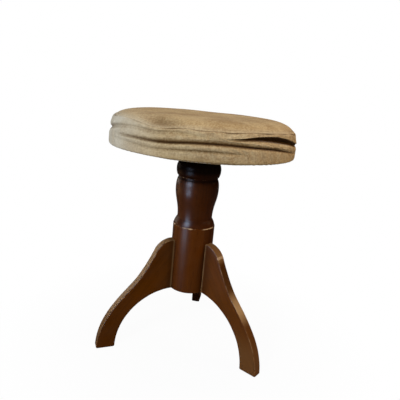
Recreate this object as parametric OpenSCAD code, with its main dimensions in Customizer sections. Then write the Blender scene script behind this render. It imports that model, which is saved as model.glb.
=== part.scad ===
// Revolving piano stool: three sabre legs on a turned hub, a turned column
// with a steel screw, and a round padded seat under a loose cover.
// Millimetres, +Z up, origin on the floor under the column's axis.

/* [Legs] */
// Distance from the column's axis to a foot's outer edge
foot_reach = 181; // [160:0.5:210]
// Length of a foot on the floor, along the leg
foot_len = 35; // [28:0.5:42]
// Thickness of a leg's board
leg_t = 18; // [15:0.5:22]
// Height of a leg's shoulder above the floor
leg_h = 216.5; // [195:0.5:222]
// Width of the softened edges of a leg
leg_arris = 1.6; // [0.8:0.1:3]
// Direction of the rear leg, from +X
rear_leg_angle = 75; // [60:1:90]

/* [Hub] */
// Diameter of the hub
hub_d = 80.6; // [72:0.2:92]
// Height of the hub's lower end above the floor
hub_lift = 116; // [100:1:130]
// Height of the hub
hub_h = 132; // [126:1:160]
// Width of the worn rims of the hub
hub_rim = 1.8; // [0.5:0.1:3]
// Depth of the flat housings that the legs stand in
housing_depth = 3; // [2:0.1:5]
// Diameter of the dowels that hold the legs
dowel_d = 10; // [8:0.5:12]
// Length of a dowel inside its leg
dowel_in_leg = 20; // [14:1:26]
// Distance between the lower and the upper dowel of a leg
dowel_gap = 52; // [36:1:56]

/* [Column] */
// Height of the column above the hub
column_h = 122; // [110:1:150]
// Diameter of the column's foot ring
ring_d = 78.6; // [68:0.2:80]
// Diameter of the column's waist
waist_d = 67; // [58:0.2:72]
// Diameter of the column's belly
belly_d = 82; // [72:0.2:90]
// Diameter of the groove under the bead
groove_d = 75; // [66:0.2:78]
// Diameter of the bead
bead_d = 84; // [72:0.2:88]
// Height of the bead
bead_h = 32; // [26:0.5:38]
// Diameter of the column's flat top
column_top_d = 66; // [62:0.2:72]
// Diameter of the tenon below the column
tenon_d = 50; // [44:0.5:58]
// Wood of the hub between the tenon's end and the upper dowels
tenon_clear = 14.75; // [6:0.25:30]

/* [Screw] */
// Outside diameter of the screw's thread
spindle_d = 24; // [20:0.5:26]
// Rise of the seat in one turn
thread_pitch = 6; // [5:0.5:7]
// Turns from the lowest seat to the highest
seat_turns = 18; // [12:1:20]
// Diameter of the nut's flange
nut_flange_d = 56; // [50:0.5:60]
// Thickness of the nut's flange
nut_flange_t = 4; // [3:0.5:6]
// Diameter of the nut's barrel
nut_barrel_d = 34; // [31:0.5:36]
// Length of the nut's barrel below its flange
nut_barrel_h = 34; // [24:1:44]
// Shank diameter of the nut's wood screws
nut_screw_d = 4; // [3:0.5:5]
// Length of the nut's wood screws
nut_screw_len = 22; // [16:1:28]
// Outside diameter of the thrust washer
washer_d = 44; // [38:1:52]
// Thickness of the thrust washer
washer_t = 3; // [2:0.5:4]
// Thickness of the stop collar
collar_t = 8; // [6:0.5:12]
// Diameter of the stop collar
collar_d = 30; // [28:0.5:31]
// Shank diameter of the stop screw
stop_screw_d = 8; // [6:1:10]

/* [Seat plate] */
// Diameter of the plate's boss
boss_d = 44; // [38:1:52]
// Height of the boss below the plate
boss_h = 19; // [15:1:26]
// Thickness of the plate
plate_t = 6; // [4:0.5:8]
// Reach of each arm from the axis
arm_reach = 78; // [66:1:96]
// Width of an arm at its rounded end
arm_w = 26; // [20:1:32]
// Diameter of the screw's shank inside the boss
shank_d = 19; // [16:0.5:19]
// Diameter of the cross pin
pin_d = 5; // [4:0.5:6]
// Shank diameter of the plate's wood screws
plate_screw_d = 5; // [4:0.5:6]
// Length of the plate's wood screws
plate_screw_len = 19; // [14:1:22]

/* [Seat] */
// Diameter of the seat over its cover
seat_d = 341; // [310:1:370]
// Thickness of the seat board
board_t = 18; // [15:0.5:24]
// Height of the padded side above the board
pad_side_h = 25; // [18:0.5:34]
// Rise of the seat's crown above its seam
crown_h = 13; // [8:0.5:24]
// Radius of the pad's upper edge
pad_edge_r = 13; // [10:0.5:18]
// Thickness of the wadding
wadding_t = 5; // [3:0.5:7]
// Thickness of the inner cover
lining_t = 1.2; // [0.8:0.1:2]
// Width of the inner cover turned under the board
lining_turn = 30; // [24:1:40]
// Number of tacks in the inner cover
tack_count = 24; // [16:1:32]
// Diameter of a tack's head
tack_head_d = 8; // [6:0.5:9]

/* [Loose cover] */
// Thickness of the cover's cloth
cloth_t = 1.6; // [1.2:0.1:2]
// Depth of the cover's main folds
fold_depth = 2.4; // [0.5:0.1:2.8]
// Width of the hem turned under the board
hem_turn = 18; // [14:0.5:24]
// Width of the elastic band in the hem
elastic_w = 6; // [4:0.5:8]
// Thickness of the elastic band
elastic_t = 1.2; // [0.8:0.1:1.6]

/* [Hidden] */
$fn = 96;

// Clearances
overrun = 10;
fit_gap = 0.05;
glue_gap = 0.05;
soft_gap = 0.3;
rest_gap = 0.3;
end_gap = 0.5;

// Heights of the base
hub_top = hub_lift + hub_h;
column_top = hub_top + column_h;
housing_r = hub_d / 2 - housing_depth;
nut_bottom = column_top - nut_flange_t - nut_barrel_h;

// The screw's stop: the collar meets the nut when the seat is highest
seat_rise = thread_pitch * seat_turns;
collar_top = nut_bottom - seat_rise;
collar_bottom = collar_top - collar_t;
collar_bore_d = spindle_d * 0.6;
stop_head_d = collar_d * 0.75;
stop_head_h = stop_screw_d * 0.6;
stop_screw_len = stop_screw_d * 3;
bore_d = nut_barrel_d;
bore_margin = 7;
bore_bottom = collar_bottom - stop_head_h - bore_margin;

// Dowels keep some wood between their ends and the column's bore, and the
// column's tenon ends above the upper ones
dowel_wall = 3;
dowel_in_hub = housing_r - bore_d / 2 - dowel_wall;
dowel_middle = (hub_lift + leg_h) / 2;
dowel_top = dowel_middle + (dowel_gap + dowel_d) / 2;
tenon_h = hub_top - dowel_top - tenon_clear;
socket_bottom = hub_top - tenon_h - rest_gap;

// Heights of the seat
washer_bottom = column_top + rest_gap;
boss_bottom = washer_bottom + washer_t + rest_gap;
plate_bottom = boss_bottom + boss_h;
board_bottom = plate_bottom + plate_t;
board_top = board_bottom + board_t;
lining_bottom = board_bottom - soft_gap - lining_t;
pad_shoulder = board_top + pad_side_h;

// Radii of the seat, from the cover inwards
seat_r = seat_d / 2;
pad_slack = 5.5;
pad_r = seat_r - pad_slack;
board_r = pad_r - lining_t - soft_gap;
lining_inner_r = board_r - lining_turn;
crown_power = 5;

// Loose cover
seam_z = pad_shoulder + cloth_t + soft_gap;
band_top = seam_z - cloth_t - soft_gap;
band_r = seat_r - cloth_t / 2 - 0.2 * soft_gap;
hem_layer_gap = elastic_t + 2 * soft_gap;
hem_upper_z = lining_bottom - soft_gap - cloth_t;
hem_lower_z = hem_upper_z - cloth_t - hem_layer_gap;
hem_r = board_r - hem_turn;

// Leg outlines as curves of four points each. The first share runs from the
// hub's side to the foot, the second from the floor to the shoulder or root.
shoulder_shares = [[0, 1], [0.085, 1], [0.172, 0.965], [0.222, 0.914]];
back_shares = [[0.222, 0.914], [0.278, 0.831], [0.385, 0.688], [0.513, 0.59]];
sabre_shares = [[0.513, 0.59], [0.7, 0.448], [0.982, 0.277], [1, 0]];
inner_shares = [[1, 0], [0.986, 0.585], [0.47, 0.972], [0, 1]];
curve_steps = 9;

// Seat plate
arm_count = 4;
plate_screw_r = arm_reach - arm_w / 2;

// Nut screws
nut_screw_count = 3;
nut_screw_r = (nut_flange_d + nut_barrel_d) / 4;

// Tacks
tack_d = 1.4;
tack_len = 11;
tack_head_t = 1.6;
tack_r = board_r - lining_turn * 0.78;

// Folds of the cover's band: place up the side, width, depth, wander and phase
band_steps = 40;
side_steps = 8;
fold_shares = [
    [0.86, 0.055, 0.55, 0.05, 200],
    [0.6, 0.075, 1, 0.1, 40],
    [0.3, 0.08, 0.6, 0.07, 310]
];

function along(a, b, t) = a + (b - a) * t;
function bezier(p, t) =
    pow(1 - t, 3) * p[0] + 3 * t * pow(1 - t, 2) * p[1]
    + 3 * t * t * (1 - t) * p[2] + t * t * t * p[3];
function curve(p, steps, from = 0) =
    [for (i = [from:steps]) bezier(p, i / steps)];
function unit(v) = v / max(norm(v), 1e-9);
function left_of(v) = [-v[1], v[0]];

// Offset of an open line by its left-hand normals
function beside(line, d) = [
    for (i = [0:len(line) - 1])
        let (
            before = unit(line[i] - line[max(i - 1, 0)]),
            after = unit(line[min(i + 1, len(line) - 1)] - line[i]),
            normal = left_of(unit(before + after)),
            lean = max(normal * left_of(i == 0 ? after : before), 0.5)
        )
        line[i] + normal * d / lean
];

// A wood screw pointing along +Z, with its countersunk head's face at zero
module wood_screw(shank, length) {
    head = shank * 2;
    rotate_extrude()
        polygon([
            [0, 0], [head / 2, 0], [shank / 2, shank / 2],
            [shank / 2, length - shank], [0, length]
        ]);
}

// The hole for that screw, opened by a gap all round and at its mouth
module wood_screw_hole(shank, length, gap) {
    head = shank * 2;
    rotate_extrude()
        polygon([
            [0, -overrun], [head / 2 + gap, -overrun], [head / 2 + gap, gap],
            [shank / 2 + gap, shank / 2 + gap],
            [shank / 2 + gap, length - shank], [0, length + gap]
        ]);
}

// A leg's edges: the outer one from the root's top to the floor, then the
// inner one back up to the root, both drawn in by d on the leg's side
function leg_curve(shares, reach, top) =
    [for (s = shares) [along(hub_d / 2, reach, s[0]), along(0, top, s[1])]];
function leg_edges(d) =
    let (
        outer = beside(concat(
            [[housing_r, leg_h]],
            curve(leg_curve(shoulder_shares, foot_reach, leg_h), 5),
            curve(leg_curve(back_shares, foot_reach, leg_h), 6, 1),
            curve(leg_curve(sabre_shares, foot_reach, leg_h), curve_steps, 1)
        ), -d),
        inner = beside(concat(
            curve(
                leg_curve(inner_shares, foot_reach - foot_len, hub_lift),
                len(outer) - 2
            ),
            [[housing_r, hub_lift]]
        ), -d),
        line = concat(outer, inner),
        foot = len(outer)
    )
    [for (i = [0:len(line) - 1])
        i == foot - 1 || i == foot ? [line[i][0], 0]
        : i == 0 || i == len(line) - 1 ? [housing_r, line[i][1]]
        : line[i]
    ];

// A board of thickness t cut to the leg's edges, all softened by a chamfer
module leg_board(t, arris) {
    full = leg_edges(0);
    small = leg_edges(arris);
    n = len(full);
    rings = [
        [small, -t / 2], [full, arris - t / 2],
        [full, t / 2 - arris], [small, t / 2]
    ];
    points = [for (r = rings) for (p = r[0]) [p[0], r[1], p[1]]];
    sides = [
        for (k = [0:len(rings) - 2]) for (i = [0:n - 1])
            let (j = (i + 1) % n)
            each [
                [k * n + i, k * n + j, k * n + n + j],
                [k * n + i, k * n + n + j, k * n + n + i]
            ]
    ];
    // Each flat side is a ladder of rungs between the outer and inner edges
    ladders = [
        for (i = [0:n / 2 - 2])
            let (j = n - 1 - i, far = (len(rings) - 1) * n)
            each [
                [i, j, j - 1], [i, j - 1, i + 1],
                [far + i, far + j - 1, far + j], [far + i, far + i + 1, far + j - 1]
            ]
    ];
    polyhedron(points, concat(sides, ladders));
}

module at_dowels(shift) {
    for (side = [-1, 1])
        translate([housing_r + shift, 0, dowel_middle + side * dowel_gap / 2])
            rotate([0, 90, 0])
                children();
}

module leg(angle) {
    rotate([0, 0, angle])
        difference() {
            leg_board(leg_t, leg_arris);
            at_dowels(-overrun)
                cylinder(
                    d = dowel_d + 2 * glue_gap,
                    h = overrun + dowel_in_leg + end_gap
                );
        }
}

leg_angles = [for (i = [0:2]) rear_leg_angle + i * 120];

module leg_rear() { color("saddlebrown") leg(leg_angles[0]); }
module leg_left() { color("saddlebrown") leg(leg_angles[1]); }
module leg_right() { color("saddlebrown") leg(leg_angles[2]); }

module leg_dowels() {
    color("burlywood")
        for (a = leg_angles)
            rotate([0, 0, a])
                at_dowels(-dowel_in_hub)
                    cylinder(d = dowel_d, h = dowel_in_hub + dowel_in_leg);
}

module hub() {
    r = hub_d / 2;
    socket_d = tenon_d + 2 * glue_gap;
    color("sienna")
        difference() {
            rotate_extrude()
                polygon([
                    [0, hub_lift], [r - hub_rim, hub_lift],
                    [r, hub_lift + hub_rim], [r, hub_top - hub_rim],
                    [r - hub_rim, hub_top], [0, hub_top]
                ]);
            translate([0, 0, socket_bottom])
                cylinder(d = socket_d, h = hub_top - socket_bottom + overrun);
            translate([0, 0, min(bore_bottom, socket_bottom)])
                cylinder(d = bore_d, h = hub_h);
            for (a = leg_angles)
                rotate([0, 0, a]) {
                    translate([
                        housing_r, -leg_t / 2 - glue_gap, hub_lift - overrun
                    ])
                        cube([
                            housing_depth + overrun, leg_t + 2 * glue_gap,
                            leg_h - hub_lift + overrun + glue_gap
                        ]);
                    at_dowels(-dowel_in_hub - end_gap)
                        cylinder(
                            d = dowel_d + 2 * glue_gap,
                            h = dowel_in_hub + end_gap + overrun
                        );
                }
        }
}

// Turned outline of the column above the hub, from its foot ring upwards
ring_shares = [[1, 0], [1, 0.35], [0.9, 0.55], [0, 1]];
belly_shares = [[0, 0], [0, 0.38], [1, 0.47], [1, 0.76]];
shoulder_turn_shares = [[1, 0.76], [1, 0.87], [0.6, 0.95], [0, 1]];
function turned(shares, r0, r1, z0, h, steps, from = 0) =
    curve([for (s = shares) [along(r0, r1, s[0]), z0 + h * s[1]]], steps, from);
function column_outline() =
    let (
        ring_h = column_h * 0.08,
        vase_h = column_h - bead_h - ring_h,
        vase_z = hub_top + ring_h,
        groove_z = column_top - bead_h,
        groove_h = bead_h * 0.1,
        bead_z = groove_z + groove_h,
        half = (bead_h - groove_h) / 2,
        out = (bead_d - groove_d) / 2,
        top_r = column_top_d / 2
    )
    concat(
        turned(ring_shares, waist_d / 2, ring_d / 2, hub_top, ring_h, 5),
        turned(belly_shares, waist_d / 2, belly_d / 2, vase_z, vase_h, 9, 1),
        turned(
            shoulder_turn_shares, groove_d / 2, belly_d / 2, vase_z, vase_h, 6, 1
        ),
        [for (i = [0:6]) [
            groove_d / 2 + out * sin(i * 15), bead_z + half * (1 - cos(i * 15))
        ]],
        [for (i = [1:6]) [
            top_r + (bead_d / 2 - top_r) * cos(i * 15), bead_z + half + half * sin(i * 15)
        ]]
    );

module column() {
    color("saddlebrown")
        difference() {
            union() {
                rotate_extrude()
                    polygon(concat(
                        [[0, hub_top]], column_outline(), [[0, column_top]]
                    ));
                translate([0, 0, hub_top - tenon_h])
                    cylinder(d = tenon_d, h = tenon_h + nut_flange_t);
            }
            translate([0, 0, hub_top - tenon_h - overrun])
                cylinder(d = bore_d + 2 * fit_gap, h = column_h + tenon_h + 2 * overrun);
            translate([0, 0, column_top - nut_flange_t])
                cylinder(d = nut_flange_d + 2 * fit_gap, h = nut_flange_t + overrun);
            at_nut_screws()
                wood_screw_hole(nut_screw_d, nut_screw_len, fit_gap);
        }
}

module at_nut_screws() {
    for (i = [0:nut_screw_count - 1])
        rotate([0, 0, rear_leg_angle + 60 + i * 360 / nut_screw_count])
            translate([nut_screw_r, 0, column_top])
                rotate([180, 0, 0])
                    children();
}

module nut() {
    color("dimgray")
        difference() {
            union() {
                translate([0, 0, column_top - nut_flange_t])
                    cylinder(d = nut_flange_d, h = nut_flange_t);
                translate([0, 0, nut_bottom])
                    cylinder(d = nut_barrel_d, h = nut_barrel_h + nut_flange_t);
            }
            translate([0, 0, nut_bottom - overrun])
                cylinder(
                    d = spindle_d + 2 * fit_gap,
                    h = nut_barrel_h + nut_flange_t + 2 * overrun
                );
            at_nut_screws()
                wood_screw_hole(nut_screw_d, nut_screw_len, fit_gap);
        }
}

module nut_screws() {
    color("silver") at_nut_screws() wood_screw(nut_screw_d, nut_screw_len);
}

module thrust_washer() {
    color("peru")
        translate([0, 0, washer_bottom])
            difference() {
                cylinder(d = washer_d, h = washer_t);
                translate([0, 0, -overrun])
                    cylinder(d = spindle_d + 4 * fit_gap, h = washer_t + 2 * overrun);
            }
}

// The screw: thread, shank inside the boss, and a spigot for the stop collar
module spindle() {
    lead = spindle_d * 0.08;
    color("gray")
        difference() {
            rotate_extrude()
                polygon([
                    [0, collar_bottom + fit_gap],
                    [collar_bore_d / 2, collar_bottom + fit_gap],
                    [collar_bore_d / 2, collar_top],
                    [spindle_d / 2 - lead, collar_top],
                    [spindle_d / 2, collar_top + lead],
                    [spindle_d / 2, boss_bottom],
                    [shank_d / 2, boss_bottom],
                    [shank_d / 2, board_bottom - rest_gap],
                    [0, board_bottom - rest_gap]
                ]);
            at_pin()
                cylinder(d = pin_d + 2 * fit_gap, h = boss_d, center = true);
            translate([0, 0, collar_bottom])
                cylinder(d = stop_screw_d + 2 * fit_gap, h = stop_screw_len + end_gap);
        }
}

module at_pin() {
    translate([0, 0, boss_bottom + boss_h / 2])
        rotate([90, 0, rear_leg_angle])
            children();
}

module spindle_pin() {
    color("silver") at_pin() cylinder(d = pin_d, h = boss_d, center = true);
}

module stop_collar() {
    color("slategray")
        translate([0, 0, collar_bottom])
            difference() {
                cylinder(d = collar_d, h = collar_t);
                translate([0, 0, -overrun])
                    cylinder(
                        d = collar_bore_d + 2 * fit_gap, h = collar_t + 2 * overrun
                    );
            }
}

module stop_screw() {
    color("silver") {
        translate([0, 0, collar_bottom - stop_head_h])
            cylinder(d = stop_head_d, h = stop_head_h);
        translate([0, 0, collar_bottom - stop_head_h])
            cylinder(d = stop_screw_d, h = stop_head_h + stop_screw_len);
    }
}

module at_plate_screws() {
    for (i = [0:arm_count - 1])
        rotate([0, 0, rear_leg_angle + 45 + i * 360 / arm_count])
            translate([plate_screw_r, 0, plate_bottom])
                children();
}

// One tapering arm with a rounded end, drawn along +X
module arm_outline() {
    end_r = arm_w / 2;
    root_w = arm_w * 1.3;
    polygon(concat(
        [[0, root_w / 2], [0, -root_w / 2]],
        [for (i = [0:12])
            let (a = -90 + i * 15)
            [plate_screw_r + end_r * cos(a), end_r * sin(a)]
        ]
    ));
}

// Cast seat plate: four arms, a boss with a fillet, and countersunk holes
module seat_plate() {
    fillet = plate_t;
    color("dimgray")
        difference() {
            union() {
                for (i = [0:arm_count - 1])
                    rotate([0, 0, rear_leg_angle + 45 + i * 360 / arm_count])
                        translate([0, 0, plate_bottom])
                            linear_extrude(plate_t)
                                arm_outline();
                rotate_extrude()
                    polygon(concat(
                        [
                            [0, boss_bottom],
                            [boss_d / 2 - fillet / 4, boss_bottom],
                            [boss_d / 2, boss_bottom + fillet / 4]
                        ],
                        [for (i = [0:6]) [
                            boss_d / 2 + fillet * (1 - cos(i * 15)),
                            plate_bottom - fillet * (1 - sin(i * 15))
                        ]],
                        [
                            [boss_d / 2 + fillet, board_bottom],
                            [0, board_bottom]
                        ]
                    ));
            }
            translate([0, 0, boss_bottom - overrun])
                cylinder(d = shank_d + 2 * fit_gap, h = boss_h + plate_t + 2 * overrun);
            at_pin()
                cylinder(d = pin_d + 2 * fit_gap, h = boss_d + 2 * overrun, center = true);
            at_plate_screws()
                wood_screw_hole(plate_screw_d, plate_screw_len, fit_gap);
        }
}

module plate_screws() {
    color("silver") at_plate_screws() wood_screw(plate_screw_d, plate_screw_len);
}

module at_tacks() {
    for (i = [0:tack_count - 1])
        rotate([0, 0, i * 360 / tack_count])
            translate([tack_r, 0, lining_bottom])
                children();
}

// A tack with a domed head below the cloth and a point in the board
module tack() {
    head_r = tack_head_d / 2;
    rotate_extrude()
        polygon(concat(
            [for (i = [0:4]) [
                head_r * sin(i * 22.5), -tack_head_t * cos(i * 22.5)
            ]],
            [
                [tack_d / 2, 0], [tack_d / 2, tack_len - tack_head_t],
                [0, tack_len]
            ]
        ));
}

module cover_tacks() { color("goldenrod") at_tacks() tack(); }

module tack_holes() {
    at_tacks()
        translate([0, 0, -overrun])
            cylinder(d = tack_d + 2 * fit_gap, h = overrun + tack_len + fit_gap);
}

module seat_board() {
    edge = board_t / 6;
    color("tan")
        difference() {
            rotate_extrude()
                polygon(concat(
                    [[0, board_bottom], [board_r - edge, board_bottom]],
                    [[board_r, board_bottom + edge], [board_r, board_top - edge]],
                    [[board_r - edge, board_top], [0, board_top]]
                ));
            at_plate_screws()
                wood_screw_hole(plate_screw_d, plate_screw_len, fit_gap);
            tack_holes();
        }
}

// Rise of the seat's crown at a radius, over a seat of radius r_max
function crown(r, r_max) = crown_h * (1 - pow(r / r_max, crown_power));

// Height lost over the pad's rounded upper edge
function edge_drop(r) =
    let (x = max(r - (pad_r - pad_edge_r), 0))
    pad_edge_r - sqrt(max(pad_edge_r * pad_edge_r - x * x, 0));

// Outer line of the padded seat from its crown's middle to the board's level
pad_steps = 10;
edge_steps = 8;
function pad_line() =
    let (flat_r = pad_r - pad_edge_r)
    concat(
        [for (i = [0:pad_steps])
            let (r = flat_r * i / pad_steps)
            [r, pad_shoulder + crown(r, seat_r)]
        ],
        [for (i = [1:edge_steps])
            let (r = flat_r + pad_edge_r * sin(90 * i / edge_steps))
            [r, pad_shoulder + crown(r, seat_r) - edge_drop(r)]
        ]
    );
function layer(d) = [
    for (p = beside(pad_line(), -d)) [max(p[0], 0), p[1]]
];
function flip(line) = [for (i = [len(line) - 1:-1:0]) line[i]];
function last(line) = line[len(line) - 1];

module foam_pad() {
    top = layer(lining_t + wadding_t + 2 * soft_gap);
    base = board_top + soft_gap;
    color("lightyellow")
        rotate_extrude()
            polygon(concat([[0, base]], top, [[last(top)[0], base]]));
}

module wadding() {
    outer = layer(lining_t + soft_gap);
    inner = layer(lining_t + soft_gap + wadding_t);
    foot = board_top + soft_gap;
    color("white")
        rotate_extrude()
            polygon(concat(
                outer, [[last(outer)[0], foot], [last(inner)[0], foot]],
                flip(inner)
            ));
}

module inner_cover() {
    outer = layer(0);
    inner = layer(lining_t);
    turn = lining_t + soft_gap;
    color("beige")
        difference() {
            rotate_extrude()
                polygon(concat(
                    outer,
                    [
                        [pad_r, lining_bottom + turn],
                        [pad_r - turn, lining_bottom],
                        [lining_inner_r, lining_bottom],
                        [lining_inner_r, lining_bottom + lining_t],
                        [pad_r - turn - lining_t / 2, lining_bottom + lining_t],
                        [pad_r - lining_t, lining_bottom + turn + lining_t / 2]
                    ],
                    flip(inner)
                ));
            tack_holes();
        }
}

// Top panel of the loose cover, crowned above its seam
module cover_top() {
    line = [for (i = [0:pad_steps + edge_steps])
        let (r = seat_r * i / (pad_steps + edge_steps))
        [r, seam_z + crown(r, seat_r)]
    ];
    color("tan")
        rotate_extrude()
            polygon(concat(
                line, [for (p = flip(line)) [p[0], p[1] - cloth_t]]
            ));
}

// Radius of the band's middle line at a height share and an angle
function fold(share, angle, f) =
    let (
        middle = f[0] + f[3] * sin(angle + f[4]) / 2,
        swell = 0.75 + 0.25 * sin(2 * angle + f[4])
    )
    f[2] * swell * exp(-pow((share - middle) / f[1], 2));
function band_radius(share, angle) =
    band_r - fold_depth * min(1, fold(share, angle, fold_shares[0])
        + fold(share, angle, fold_shares[1]) + fold(share, angle, fold_shares[2]));

// Middle line of the band: down the side, under the board and round the elastic
function band_line(angle) =
    let (
        low = lining_bottom,
        turn_r = hem_layer_gap + cloth_t,
        half = turn_r / 2,
        end_r = hem_r + elastic_w + cloth_t
    )
    concat(
        [for (i = [0:side_steps])
            let (share = 1 - i / side_steps)
            [band_radius(share, angle), along(low + cloth_t, band_top, share)]
        ],
        [
            [pad_r + soft_gap, hem_lower_z + turn_r],
            [pad_r - turn_r, hem_lower_z],
            [hem_r + half, hem_lower_z],
            [hem_r, hem_lower_z + half],
            [hem_r + half, hem_upper_z],
            [end_r + cloth_t, hem_upper_z]
        ]
    );
function band_section(angle) =
    let (line = band_line(angle))
    concat(beside(line, cloth_t / 2), flip(beside(line, -cloth_t / 2)));

module cover_band() {
    sections = [for (k = [0:band_steps - 1]) band_section(k * 360 / band_steps)];
    n = len(sections[0]);
    points = [
        for (k = [0:band_steps - 1]) for (p = sections[k])
            let (a = k * 360 / band_steps)
            [p[0] * cos(a), p[0] * sin(a), p[1]]
    ];
    faces = [
        for (k = [0:band_steps - 1]) for (i = [0:n - 1])
            let (
                j = (i + 1) % n,
                here = k * n,
                next = ((k + 1) % band_steps) * n
            )
            each [
                [here + i, next + i, next + j],
                [here + i, next + j, here + j]
            ]
    ];
    color("tan") polyhedron(points, faces);
}

module hem_elastic() {
    middle = (hem_lower_z + hem_upper_z) / 2;
    inner_r = hem_r + cloth_t + soft_gap;
    color("white")
        translate([0, 0, middle - elastic_t / 2])
            difference() {
                cylinder(r = inner_r + elastic_w, h = elastic_t);
                translate([0, 0, -overrun])
                    cylinder(r = inner_r, h = elastic_t + 2 * overrun);
            }
}

hub();
column();
leg_rear();
leg_left();
leg_right();
leg_dowels();
nut();
nut_screws();
thrust_washer();
spindle();
spindle_pin();
stop_collar();
stop_screw();
seat_plate();
plate_screws();
seat_board();
foam_pad();
wadding();
inner_cover();
cover_tacks();
cover_top();
cover_band();
hem_elastic();
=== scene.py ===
"""Revolving piano stool, dressed around its packed CAD frame.

Metres throughout, in the frame's axes: +Z up, origin on the floor under the column's axis.
Angles round the axis are in degrees from +X towards +Y.
"""

import bpy
import numpy as np
from bpy.props import FloatProperty, FloatVectorProperty, IntProperty, PointerProperty
from mathutils import Matrix, Vector


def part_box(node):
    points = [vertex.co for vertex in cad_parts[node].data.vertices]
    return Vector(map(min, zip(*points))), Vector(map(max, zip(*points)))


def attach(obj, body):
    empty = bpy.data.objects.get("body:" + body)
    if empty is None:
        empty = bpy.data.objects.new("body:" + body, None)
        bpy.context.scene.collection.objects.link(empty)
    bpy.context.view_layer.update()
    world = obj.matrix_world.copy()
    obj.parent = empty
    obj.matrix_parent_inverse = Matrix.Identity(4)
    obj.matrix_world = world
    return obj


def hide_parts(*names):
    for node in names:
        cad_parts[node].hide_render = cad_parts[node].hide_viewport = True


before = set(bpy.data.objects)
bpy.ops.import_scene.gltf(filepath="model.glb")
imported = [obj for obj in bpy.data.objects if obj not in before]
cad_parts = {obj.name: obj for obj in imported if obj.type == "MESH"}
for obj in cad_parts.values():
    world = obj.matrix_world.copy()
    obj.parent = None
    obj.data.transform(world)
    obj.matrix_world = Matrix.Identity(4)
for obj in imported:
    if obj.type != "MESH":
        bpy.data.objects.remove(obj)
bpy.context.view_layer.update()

bl_info = {
    "name": "Revolving Piano Stool",
    "version": (1, 0, 0),
    "blender": (4, 5, 0),
    "location": "3D View > Sidebar > Stool",
    "description": "Dresses the packed frame of a revolving piano stool",
    "category": "Object",
}

MM = 0.001

# Heights and radii read from the frame
HUB_BOTTOM, HUB_TOP = (corner.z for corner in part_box("hub"))
HUB_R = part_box("hub")[1].x
COLUMN_FOOT, COLUMN_TOP = (corner.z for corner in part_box("column"))
LEG_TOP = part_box("leg_rear")[1].z
SCREW_BOTTOM, SCREW_TOP = (corner.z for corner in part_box("spindle"))
SCREW_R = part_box("spindle")[1].x
COLLAR_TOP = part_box("stop_collar")[1].z
BOSS_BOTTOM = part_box("seat_plate")[0].z
LINING_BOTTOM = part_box("inner_cover")[0].z
COVER_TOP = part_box("cover_top")[1].z
HEM_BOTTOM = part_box("cover_band")[0].z

# Turned and sawn sizes that a box doesn't tell
LEG_ANGLES = (75, 195, 315)
LEG_THICKNESS = 18 * MM
FOOT_REACH = 181 * MM
FOOT_LENGTH = 35 * MM
HOUSING_DEPTH = 3 * MM
TENON_R = 25 * MM
BORE_R = 17 * MM
RECESS_R = 28 * MM
RECESS_DEPTH = 4 * MM
RING_R = 39.3 * MM
WAIST_R = 33.5 * MM
BELLY_R = 41 * MM
GROOVE_R = 37.5 * MM
BEAD_R = 42 * MM
BEAD_HEIGHT = 32 * MM
COLUMN_TOP_R = 33 * MM
COLUMN_SIDES = 160
SPIGOT_R = 7.2 * MM
SHANK_R = 9.5 * MM
SCREW_SIDES = 56
THREAD_ROWS = 420
TACK_HEAD_R = 4 * MM


def smooth(share):
    """Smooth step of a share from 0 to 1: three squares less two cubes, held at both ends."""
    share = np.clip(share, 0, 1)
    return share * share * (3 - 2 * share)


def bell(share):
    """Bell curve: one over e to the power of the share's square."""
    return np.exp(-(share**2))


def bezier(points, share):
    """Cubic curve of four points, at each share from 0 to 1."""
    p = np.asarray(points, float)
    t = np.asarray(share, float)[:, None]
    return (
        (1 - t) ** 3 * p[0] + 3 * t * (1 - t) ** 2 * p[1]
        + 3 * t**2 * (1 - t) * p[2] + t**3 * p[3]
    )


def miters(line):
    """Left-hand normals of an open line, lengthened at its corners so that an offset keeps its width."""
    steps = np.diff(line, axis=0)
    steps /= np.maximum(np.linalg.norm(steps, axis=1, keepdims=True), 1e-12)
    before = np.vstack([steps[:1], steps])
    after = np.vstack([steps, steps[-1:]])
    middle = before + after
    middle /= np.linalg.norm(middle, axis=1, keepdims=True)
    normal = np.column_stack([-middle[:, 1], middle[:, 0]])
    lean = np.abs((middle * after).sum(1))
    return normal / np.maximum(lean, 0.5)[:, None]


def quarter(steps):
    """Shares of a quarter circle from its start to its end: one less the sine, one less the cosine."""
    turn = np.linspace(0, np.pi / 2, steps)
    return 1 - np.sin(turn), 1 - np.cos(turn)


def ring_angles(count):
    """Angles of a count of even steps round the axis."""
    return np.arange(count) * 2 * np.pi / count


def in_space(radius, height, turn):
    """Points at each radius, height and angle."""
    return np.stack([radius * np.cos(turn), radius * np.sin(turn), height], axis=2)


def revolve(profile, count=128):
    """Grid of a profile of (radius, height) points carried round the axis."""
    profile = np.asarray(profile, float)
    height = np.repeat(profile[:, 1:], count, axis=1)
    return in_space(profile[:, :1], height, ring_angles(count))


def waves(turn, seed, lowest, highest, height=0.0):
    """Sum of sine waves round the axis, with whole numbers of waves and seeded phases, from -1 to 1.

    Each wave also shifts with height, so that two heights differ.
    """
    random = np.random.default_rng(seed)
    counts = random.integers(lowest, highest + 1, 7)
    phases = random.uniform(0, 2 * np.pi, 7)
    leans = random.uniform(-90, 90, 7)
    total = sum(
        np.sin(count * turn + phase + lean * height)
        for count, phase, lean in zip(counts, phases, leans)
    )
    return total / 4


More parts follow.
